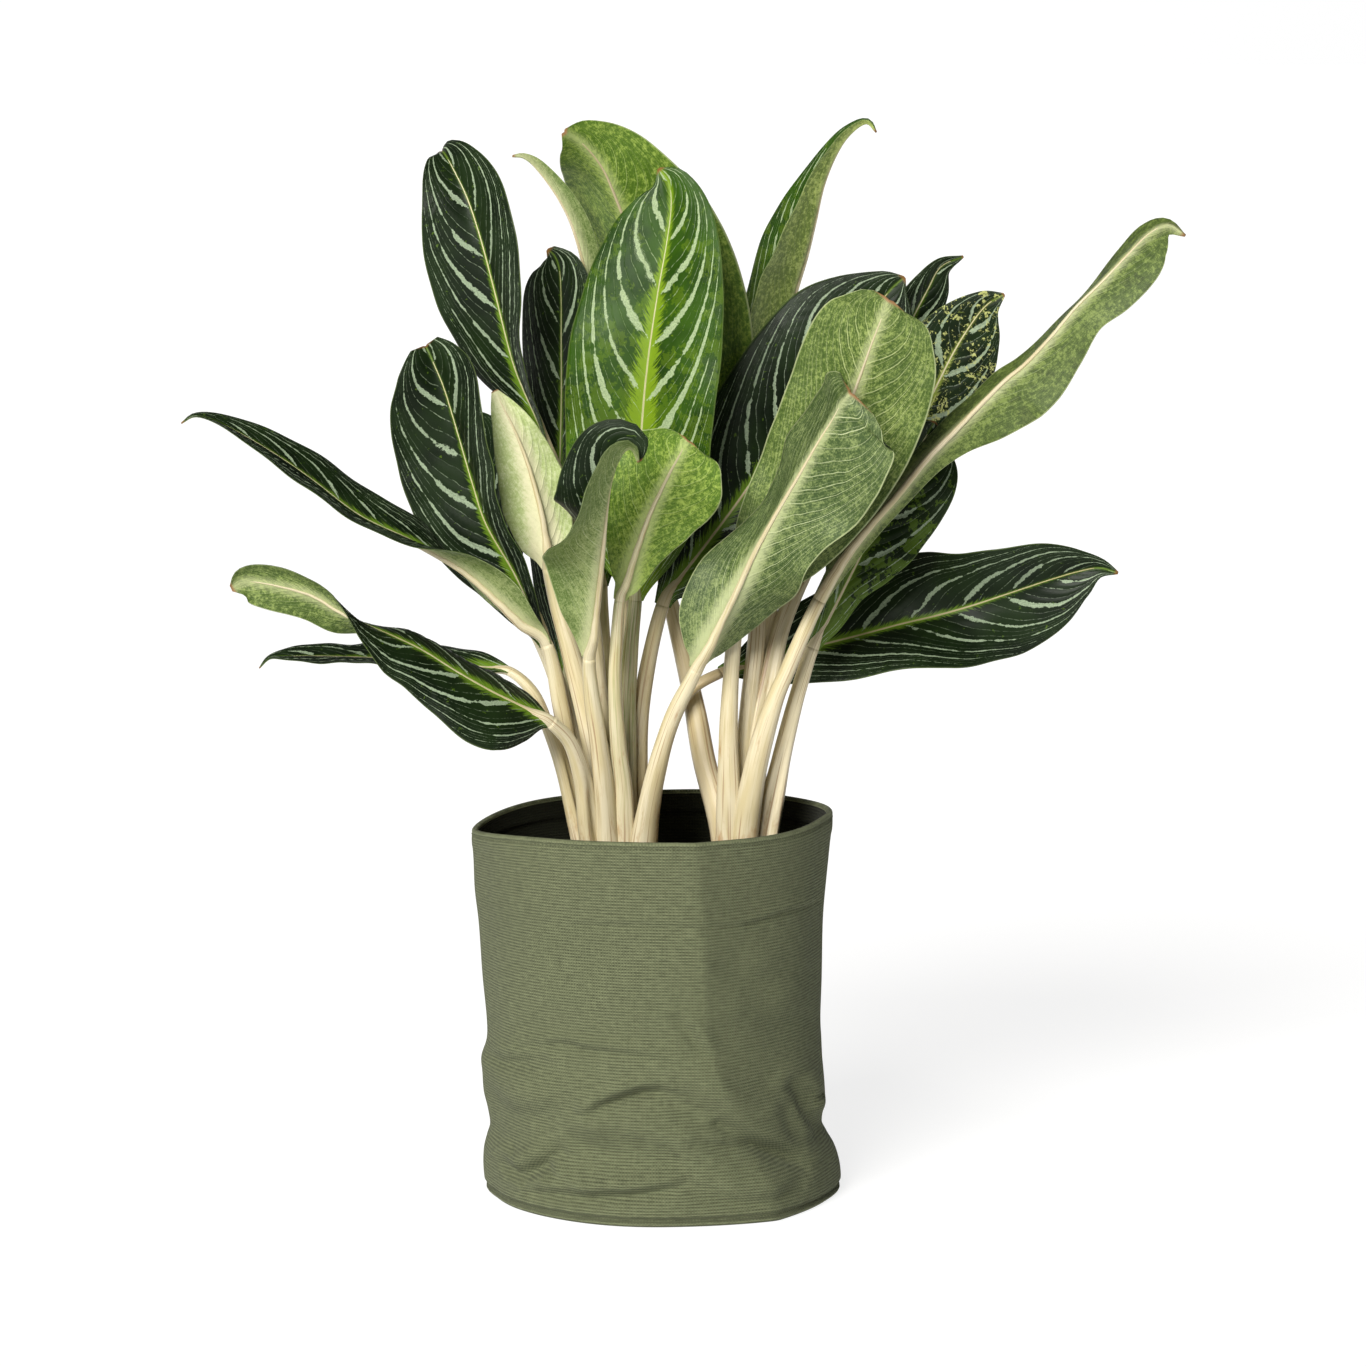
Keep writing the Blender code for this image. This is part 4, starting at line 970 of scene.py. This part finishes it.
def make_soil(finishes):
    """The root ball: a lumpy surface inside the pot, with crumbs and bark on it."""
    shares = np.linspace(0, 1, 60)
    angle = np.linspace(0, 2 * math.pi, 160, endpoint=False)
    waves = RANDOM.uniform(0, 2 * math.pi, (14, 3))
    rings = []

    def height(px, py):
        total = np.zeros_like(px)
        for k, (a, b, c) in enumerate(waves):
            size = 0.05 + 0.035 * k
            total += np.sin(px * size * math.cos(a) + py * size * math.sin(a) + b) * (1.6 / (1 + 0.55 * k))
        return total * 0.55

    for share in shares[1:][::-1]:
        px, py = SOIL_RADIUS * share * np.cos(angle), SOIL_RADIUS * share * np.sin(angle)
        rings.append(np.stack([px, py, SOIL_TOP - 0.6 + height(px, py) * min(1, 3 * (1 - share))], axis=1))
    low = np.stack([SOIL_RADIUS * 0.80 * np.cos(angle), SOIL_RADIUS * 0.80 * np.sin(angle), np.full_like(angle, 5.0)], axis=1)
    rings.insert(0, low)
    points, faces = tube(np.array(rings))
    points, faces = [points], list(faces)
    start = len(points[0])
    bm = bmesh.new()
    bmesh.ops.create_icosphere(bm, subdivisions=1, radius=1)
    ball = np.array([v.co[:] for v in bm.verts])
    ball_faces = [[v.index for v in f.verts] for f in bm.faces]
    bm.free()
    slots = [0] * len(faces)
    for k in range(SOIL_CRUMBS):
        radius = SOIL_RADIUS * math.sqrt(RANDOM.uniform(0, 0.93))
        turn = RANDOM.uniform(0, 2 * math.pi)
        px, py = radius * math.cos(turn), radius * math.sin(turn)
        size = RANDOM.uniform(0.7, 2.3)
        shape = size * np.array((RANDOM.uniform(0.8, 1.9), RANDOM.uniform(0.8, 1.3), RANDOM.uniform(0.5, 0.9)))
        spin = RANDOM.uniform(0, math.pi)
        lumps = ball * (1 + 0.22 * RANDOM.uniform(-1, 1, (len(ball), 1))) * shape
        turned = np.stack([lumps[:, 0] * math.cos(spin) - lumps[:, 1] * math.sin(spin),
                           lumps[:, 0] * math.sin(spin) + lumps[:, 1] * math.cos(spin), lumps[:, 2]], axis=1)
        z = SOIL_TOP - 0.6 + float(height(np.array(px), np.array(py))) * min(1, 3 * (1 - radius / SOIL_RADIUS)) + 0.2 * size
        points.append(turned + (px, py, z))
        faces += [tuple(start + i for i in f) for f in ball_faces]
        slots += [1 if k % 9 == 0 else 0] * len(ball_faces)
        start += len(ball)
    made = piece_from("potting_soil_top", np.vstack(points), faces, [finishes["soil"], finishes["bark"]], slots)
    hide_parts("potting_soil")
    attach(made, "root")


def make_pot(finishes):
    """The nursery pot: a thin tapered shell with a rolled lip and a stepped collar."""
    top = POT_FLOOR + POT_HEIGHT
    collar = top - 14
    wall = 1.5
    outer_low = POT_TOP_RADIUS - 2.2
    profile = [
        (0.5, POT_FLOOR), (POT_FLOOR_RADIUS - 5, POT_FLOOR), (POT_FLOOR_RADIUS, POT_FLOOR + 2.5),
        (POT_FLOOR_RADIUS + 4, 38), (outer_low - 7, 120), (outer_low, collar - 0.5), (POT_TOP_RADIUS - 0.9, collar + 0.6),
        (POT_TOP_RADIUS - 0.9, top - 4), (POT_TOP_RADIUS, top - 3), (POT_TOP_RADIUS, top - 0.8),
        (POT_TOP_RADIUS - 0.8, top), (POT_TOP_RADIUS - 1.8, top - 0.4), (POT_TOP_RADIUS - 2.5, top - 2),
        (POT_TOP_RADIUS - 2.6, collar + 1.5), (outer_low - wall, collar - 1), (outer_low - 7 - wall, 120),
        (POT_FLOOR_RADIUS + 4 - wall, 38), (POT_FLOOR_RADIUS - wall, POT_FLOOR + 4), (0.5, POT_FLOOR + wall),
    ]
    angle = np.linspace(0, 2 * math.pi, 128, endpoint=False)
    rings = np.array([np.stack([r * np.cos(angle), r * np.sin(angle), np.full_like(angle, z)], axis=1) for r, z in profile])
    points, faces = tube(rings)
    made = piece_from("nursery_pot_shell", points, faces, [finishes["pot"]])
    made.data.set_sharp_from_angle(angle=math.radians(40))
    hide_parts("nursery_pot")
    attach(made, "root")


def bag_radius(angle, height, creased=True):
    """The bag's outer radius from the axis, in mm, at some angles and heights: silhouette and folds."""
    levels, left, right = np.array(smooth_path(BAG_SILHOUETTE, 8)).T
    deep_levels, deep = np.array(smooth_path(BAG_DEPTH_RADIUS, 8)).T
    left = np.interp(height, levels, left)
    right = np.interp(height, levels, right)
    deep = np.interp(height, deep_levels, deep)
    cosine = np.cos(angle)
    weight = np.abs(cosine) ** 1.6
    side = np.where(cosine > 0, right, left)
    radius = side * weight + deep * (1 - weight)
    x = radius * cosine
    front = smoothstep(-np.sin(angle) / 0.35)
    edge_x, edge_z = np.array(FRONT_EDGE, float).T
    off = (x - np.interp(height, edge_z[::-1], edge_x[::-1])) / 30.0
    off = np.where(off > 0, 1.3 * off, 0.9 * off)
    radius = radius + front * FRONT_EDGE_HEIGHT * (1.30 * np.exp(-np.sqrt(off**2 + 0.006)) - 0.46)
    for points, width, depth in CREASES if creased else []:
        path = smooth_path(points, 10)
        far = np.full(x.shape, 1e9)
        under = np.zeros(x.shape)
        reach = np.zeros(x.shape)
        lengths = np.linspace(0, 1, len(path))
        for (px, pz), share in zip(path, lengths):
            distance = (x - px) ** 2 + (height - pz) ** 2
            closer = distance < far
            far = np.where(closer, distance, far)
            under = np.where(closer, height - pz, under)
            reach = np.where(closer, share, reach)
        ends = np.sin(math.pi * np.clip(0.12 + 0.76 * reach, 0, 1)) ** 0.8
        valley = np.exp(-far / width**2)
        above = smoothstep(under / width + 0.3)
        ridge = np.exp(-((np.sqrt(far) - 1.9 * width) / (1.25 * width)) ** 2) * above
        radius = radius + front * ends * depth * (0.95 * ridge - valley)
    swell = np.sin(3 * angle + 0.035 * height) + 0.6 * np.sin(7 * angle - 0.05 * height + 1.3)
    radius = radius + 0.55 * swell * smoothstep((BAG_HEIGHT - height) / 40)
    back = smoothstep(np.sin(angle) / 0.35)
    folds = np.sin(0.16 * height + 2.6 * np.sin(2 * angle) + 0.7)
    radius = radius + back * 0.9 * folds * np.exp(-(((height - 45) / 45) ** 2))
    return radius


def bag_lift(angle, height):
    """How far a level ring of the bag moves down or up, in mm: its mouth dips to the left."""
    share = np.clip(height / BAG_HEIGHT, 0, 1) ** 4
    soft = 0.8 * np.sin(2 * angle + 0.5) + 0.5 * np.sin(5 * angle + 2.0)
    return share * (soft + 2.0 * np.maximum(0, np.cos(angle)) ** 3 - BAG_MOUTH_DIP * np.maximum(0, -np.cos(angle)) ** 3)


def make_bag(finishes):
    """The canvas wall with its hem, foot seam and creases, and its stitches."""
    angle = np.linspace(0, 2 * math.pi, BAG_ANGLES, endpoint=False)
    seam = math.atan2(-1, 0.135)
    rings = []
    cloth = []

    def ring(height, inward, lower=0.0, creased=True):
        radius = bag_radius(angle, np.full_like(angle, float(height)), creased) - inward
        tuck = 0.9 * np.exp(-(((angle - 2 * math.pi - seam) * radius / 1.1) ** 2)) * smoothstep((height - 207) / 12)
        radius = radius - tuck
        z = height + bag_lift(angle, np.full_like(angle, float(height))) - lower
        rings.append(np.stack([radius * np.cos(angle), radius * np.sin(angle), np.maximum(z, 0.25)], axis=1))
        up = height if inward < 1 else 500 - height
        cloth.append(np.stack([angle * 101, np.full_like(angle, up), np.zeros_like(angle)], axis=1))

    # foot seam: a bead of folded cloth under a groove
    foot = [(0.4, 2.4), (0.3, 1.0), (0.9, 0.25), (1.9, 0.0), (2.9, 0.3), (3.7, 1.3), (4.3, 1.7), (5.0, 1.2), (6.0, 0.5)]
    for height, inward in foot:
        ring(height, inward)
    for height in np.arange(7.2, BAG_HEIGHT - 14, 1.4):
        ring(height, 0.0)
    # hem: a doubled band, pressed in along its stitches, rolled over at the top
    line = BAG_HEIGHT - STITCH_DROP
    for height in np.concatenate([np.arange(BAG_HEIGHT - 13.5, line - 1.8, 1.4), np.arange(line - 1.2, BAG_HEIGHT - 1.3, 0.5)]):
        band = -0.25 * smoothstep((height - (BAG_HEIGHT - HEM_DEPTH)) / 2.0)
        press = 0.55 * math.exp(-(((height - line) / 0.8) ** 2))
        ring(height, band + press)
    hem = BAG_CLOTH + 1.5
    for turn in np.linspace(0, math.pi, 9)[1:]:
        ring(BAG_HEIGHT - 1.4, hem / 2 * (1 - math.cos(turn)) - 0.25, -1.4 * math.sin(turn))
    outside = len(rings)
    for height in np.arange(BAG_HEIGHT - 2.4, BAG_HEIGHT - HEM_DEPTH, -1.2):
        ring(height, hem - 0.25)
    for height, inward in ((BAG_HEIGHT - HEM_DEPTH - 0.3, hem - 0.5), (BAG_HEIGHT - HEM_DEPTH - 0.9, BAG_CLOTH)):
        ring(height, inward)
    # the inner side, which keeps clear of the creases pressed into the outer one
    for height in np.concatenate([np.arange(BAG_HEIGHT - 17, 170, -5.0), np.arange(165, 6, -8.0)]):
        ring(height, BAG_CLOTH + CREASE_ROOM * smoothstep((150 - height) / 30), creased=False)
    ring(3.2, BAG_CLOTH, creased=False)
    rings.append(rings[0] * 1.0)
    cloth.append(cloth[0] * 1.0)
    rings = np.array(rings[:-1])
    cloth = np.array(cloth[:-1])
    rows = len(rings)
    faces = [tuple(f) for f in grid_faces(rows, BAG_ANGLES, closed=True)]
    last = (rows - 1) * BAG_ANGLES
    faces += [(last + k, last + (k + 1) % BAG_ANGLES, (k + 1) % BAG_ANGLES, k) for k in range(BAG_ANGLES)]
    # rows past the outside, the hem's turned-in band and the inner side, take the dark copy of the canvas: painted
    # shade of the bag's inside
    slots = np.repeat([0 if row < outside else 1 for row in range(rows)], BAG_ANGLES)
    wall = piece_from("bag_wall_cloth", rings.reshape(-1, 3), faces, [finishes["canvas"], finishes["inside_painted_shade"]], slots,
                      cloth=cloth.reshape(-1, 3))
    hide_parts("bag_wall")
    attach(wall, "root")
    make_stitches(finishes)
    return wall


def make_stitches(finishes):
    """A row of thread stitches along the hem, each a small sunk loop."""
    height = BAG_HEIGHT - STITCH_DROP
    count = int(2 * math.pi * 106 / STITCH_PITCH)
    points, faces = [], []
    start = 0
    for k in range(count):
        middle = 2 * math.pi * (k + 0.5) / count
        ring = []
        for share in np.linspace(0, 1, 7):
            at = np.array(middle + (share - 0.5) * 0.72 * 2 * math.pi / count)
            level = np.array(height)
            radius = bag_radius(at, level) - 0.30 + 0.42 * math.sin(math.pi * share)
            z = float(level + bag_lift(at, level))
            thick = 0.16 + 0.16 * math.sin(math.pi * share)
            out = np.array((math.cos(at), math.sin(at), 0))
            centre = out * float(radius) + (0, 0, z)
            ring.append([centre + thick * (math.cos(t) * out + math.sin(t) * np.array((0, 0, 1)))
                         for t in np.linspace(0, 2 * math.pi, 6, endpoint=False)])
        more, more_faces = tube(np.array(ring), start)
        points.append(more)
        faces += more_faces
        start += len(more)
    made = piece_from("hem_stitches", np.vstack(points), faces, [finishes["thread"]])
    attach(made, "root")


def make_base(finishes):
    """The base panel: a disc of the same cloth, flat inside and below."""
    angle = np.linspace(0, 2 * math.pi, 160, endpoint=False)
    rings = []
    cloth = []
    profile = [(0.5, 0.0), (30, 0.0), (60, 0.0), (90, 0.0), (98.4, 0.0), (99.4, 0.5), (99.5, 1.6), (98.6, 2.5),
               (90, 2.6), (60, 2.6), (30, 2.6), (0.5, 2.6)]
    for radius, z in profile:
        rings.append(np.stack([BASE_MIDDLE_X + radius * np.cos(angle), radius * np.sin(angle), np.full_like(angle, z)], axis=1))
        cloth.append(np.stack([radius * np.cos(angle), radius * np.sin(angle) + (700 if z > 1.5 else 900), angle * 0], axis=1))
    rings = np.array(rings)
    cloth = np.array(cloth)
    points, faces = tube(rings)
    cloth = np.vstack([cloth.reshape(-1, 3), cloth[0].mean(0), cloth[-1].mean(0)])
    made = piece_from("bag_base_cloth", points, faces, [finishes["canvas"]], cloth=cloth)
    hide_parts("bag_base")
    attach(made, "root")


def make_camera():
    data = bpy.data.cameras.new("camera")
    data.lens = CAMERA_LENS
    data.sensor_width = SENSOR
    data.clip_end = 600
    camera = bpy.data.objects.new("camera", data)
    camera.location = VIEWPOINT * MM
    camera.rotation_euler = (math.radians(90 - CAMERA_PITCH), 0, 0)
    bpy.context.scene.collection.objects.link(camera)
    bpy.context.scene.camera = camera


def make_sun(name, direction, strength, angle):
    """A broad, far light that comes from the given direction."""
    data = bpy.data.lights.new(name, "SUN")
    data.energy = strength
    data.angle = math.radians(angle)
    data.color = (1.0, 0.985, 0.95)
    light = bpy.data.objects.new(name, data)
    light.rotation_euler = Vector(direction).to_track_quat("Z", "Y").to_euler()
    bpy.context.scene.collection.objects.link(light)


def make_surround():
    """An even surround, bright on the left and behind the plant, dim on the right."""
    world = bpy.data.worlds.new("studio")
    bpy.context.scene.world = world
    world.use_nodes = True
    nodes, links = world.node_tree.nodes, world.node_tree.links
    place = nodes.new("ShaderNodeTexCoord")
    split = nodes.new("ShaderNodeSeparateXYZ")
    links.new(place.outputs["Generated"], split.inputs[0])
    strengths = []
    for output, low, high, dark, light in (("X", 0.7, -0.8, 0.05, 0.20), ("Y", 0.86, 0.96, 0.0, 0.90)):
        ramp = nodes.new("ShaderNodeMapRange")
        ramp.interpolation_type = "SMOOTHSTEP"
        if low > high:
            low, high, dark, light = high, low, light, dark
        for socket, value in zip(("From Min", "From Max", "To Min", "To Max"), (low, high, dark, light)):
            ramp.inputs[socket].default_value = value
        links.new(split.outputs[output], ramp.inputs["Value"])
        strengths.append(ramp.outputs["Result"])
    total = nodes.new("ShaderNodeMath")
    total.operation = "ADD"
    for socket, strength in zip(total.inputs, strengths):
        links.new(strength, socket)
    links.new(total.outputs[0], nodes["Background"].inputs["Strength"])
    nodes["Background"].inputs["Color"].default_value = (1, 1, 1, 1)


def make_studio():
    """A pale floor, a bright surround and a soft key light from the upper left."""
    f = Finish("floor_white", 0.9, Specular_IOR_Level=0.1, Emission_Strength=0.80)
    f.surface.inputs["Emission Color"].default_value = (1, 1, 1, 1)
    f.colour((0.30, 0.30, 0.30))
    size = FLOOR_SIZE
    corners = [(-size, -size, 0), (size, -size, 0), (size, size, 0), (-size, size, 0)]
    floor = piece_from("floor", corners, [(0, 1, 2, 3)], [f.material])
    make_surround()
    make_sun("key", (-0.36, -0.82, 0.50), 4.9, 30)
    bpy.context.scene.view_settings.view_transform = "Standard"


def make_finishes():
    stripe = seen(166, 184, 152)
    return {
        "top_dark": top_finish("top_dark", seen(28, 44, 18), seen(15, 27, 10), seen(108, 142, 38), 4.0, stripe),
        "top_bright": top_finish("top_bright", seen(50, 84, 10), seen(32, 60, 8), seen(126, 158, 26), 11.0, seen(178, 198, 150),
                                 stripe_width=0.40, patches=0.2),
        "top_lime": top_finish("top_lime", seen(34, 52, 18), seen(20, 34, 12), seen(86, 112, 34), 4.0, stripe, patches=0.8),
        "top_specked": top_finish("top_specked", seen(30, 48, 20), seen(18, 30, 12), seen(150, 164, 72), 4.0, stripe,
                                  specks=0.9),
        "under_pale": under_finish("under_pale", seen(166, 180, 116), seen(96, 120, 54), seen(204, 212, 162),
                                   seen(208, 210, 162), veins=0.6),
        "under_green": under_finish("under_green", seen(160, 184, 80), seen(84, 118, 24), seen(196, 212, 130),
                                    seen(190, 202, 134), rib_width=3.6, veins=0.6, marble=0.7),
        "under_olive": under_finish("under_olive", seen(146, 164, 88), seen(74, 98, 34), seen(200, 210, 146),
                                    seen(200, 206, 152), rib_width=3.6, veins=0.85, marble=0.7),
        "under_streaked": under_finish("under_streaked", seen(124, 142, 70), seen(72, 92, 32), seen(164, 178, 112),
                                       seen(206, 208, 158), blotches=0.5, rib_width=1.8, veins=0.5, marble=0.9),
        "under_grey": under_finish("under_grey", seen(134, 150, 90), seen(64, 86, 38), seen(196, 206, 156),
                                   seen(200, 206, 156), rib_width=4.2, veins=0.95, marble=0.6),
        # leaf 21's underside: its own pale cream, lifted above the leaf's own colour by painted light that makes up for
        # the shade it lies in
        "under_cream_painted_light": under_finish("under_cream_painted_light", seen(226, 234, 180), seen(170, 192, 108), seen(236, 238, 196),
                                    seen(240, 232, 194), amount=0.75, rib_width=6.0, veins=0.5, marble=0.5),
        # leaf 10's underside: colours brighter than the leaf's own, painted light that makes up for the shade it turns
        # into
        "under_painted_light": under_finish("under_painted_light", seen(196, 214, 112), seen(120, 146, 48), seen(214, 226, 150),
                                     seen(206, 214, 140), rib_width=2.2, veins=0.5, marble=1.0),
        "stalk": stalk_finish(),
        "sheath": simple_finish("dry_sheath", 0.7, seen(84, 46, 28), seen(150, 98, 60), 320.0, 0.5),
        "soil": simple_finish("soil_crumb", 0.95, seen(24, 18, 13), seen(62, 46, 33), 240.0, 0.8, 0.0015),
        "bark": simple_finish("soil_bark", 0.85, seen(74, 52, 34), seen(128, 96, 66), 300.0, 0.5),
        "pot": simple_finish("pot_moulded", 0.5, seen(38, 38, 40), seen(48, 48, 50), 900.0, 0.12, 0.0003),
        "canvas": canvas_finish("olive_canvas", seen(105, 110, 82)),
        # the bag's inside: the same canvas painted dark, painted shade where little light gets in
        "inside_painted_shade": canvas_finish("olive_canvas_painted_shade", seen(38, 40, 27)),
        "thread": simple_finish("olive_thread", 0.8, seen(74, 80, 54), seen(104, 110, 78), 2500.0, 0.3, 0.0002),
    }


def main():
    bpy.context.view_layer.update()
    finishes = make_finishes()
    make_camera()
    for number, leaf in enumerate(LEAVES):
        make_leaf(leaf, number + 1, finishes)
    for clump in CROWNS:
        make_stalks(clump, finishes)
    make_soil(finishes)
    make_pot(finishes)
    make_bag(finishes)
    make_base(finishes)
    make_studio()


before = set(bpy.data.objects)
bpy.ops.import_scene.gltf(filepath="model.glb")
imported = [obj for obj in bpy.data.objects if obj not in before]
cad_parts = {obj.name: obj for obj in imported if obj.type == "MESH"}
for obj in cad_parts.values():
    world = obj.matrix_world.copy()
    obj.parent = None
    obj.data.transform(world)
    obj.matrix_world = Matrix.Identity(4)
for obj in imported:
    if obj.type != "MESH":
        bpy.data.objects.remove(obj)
main()
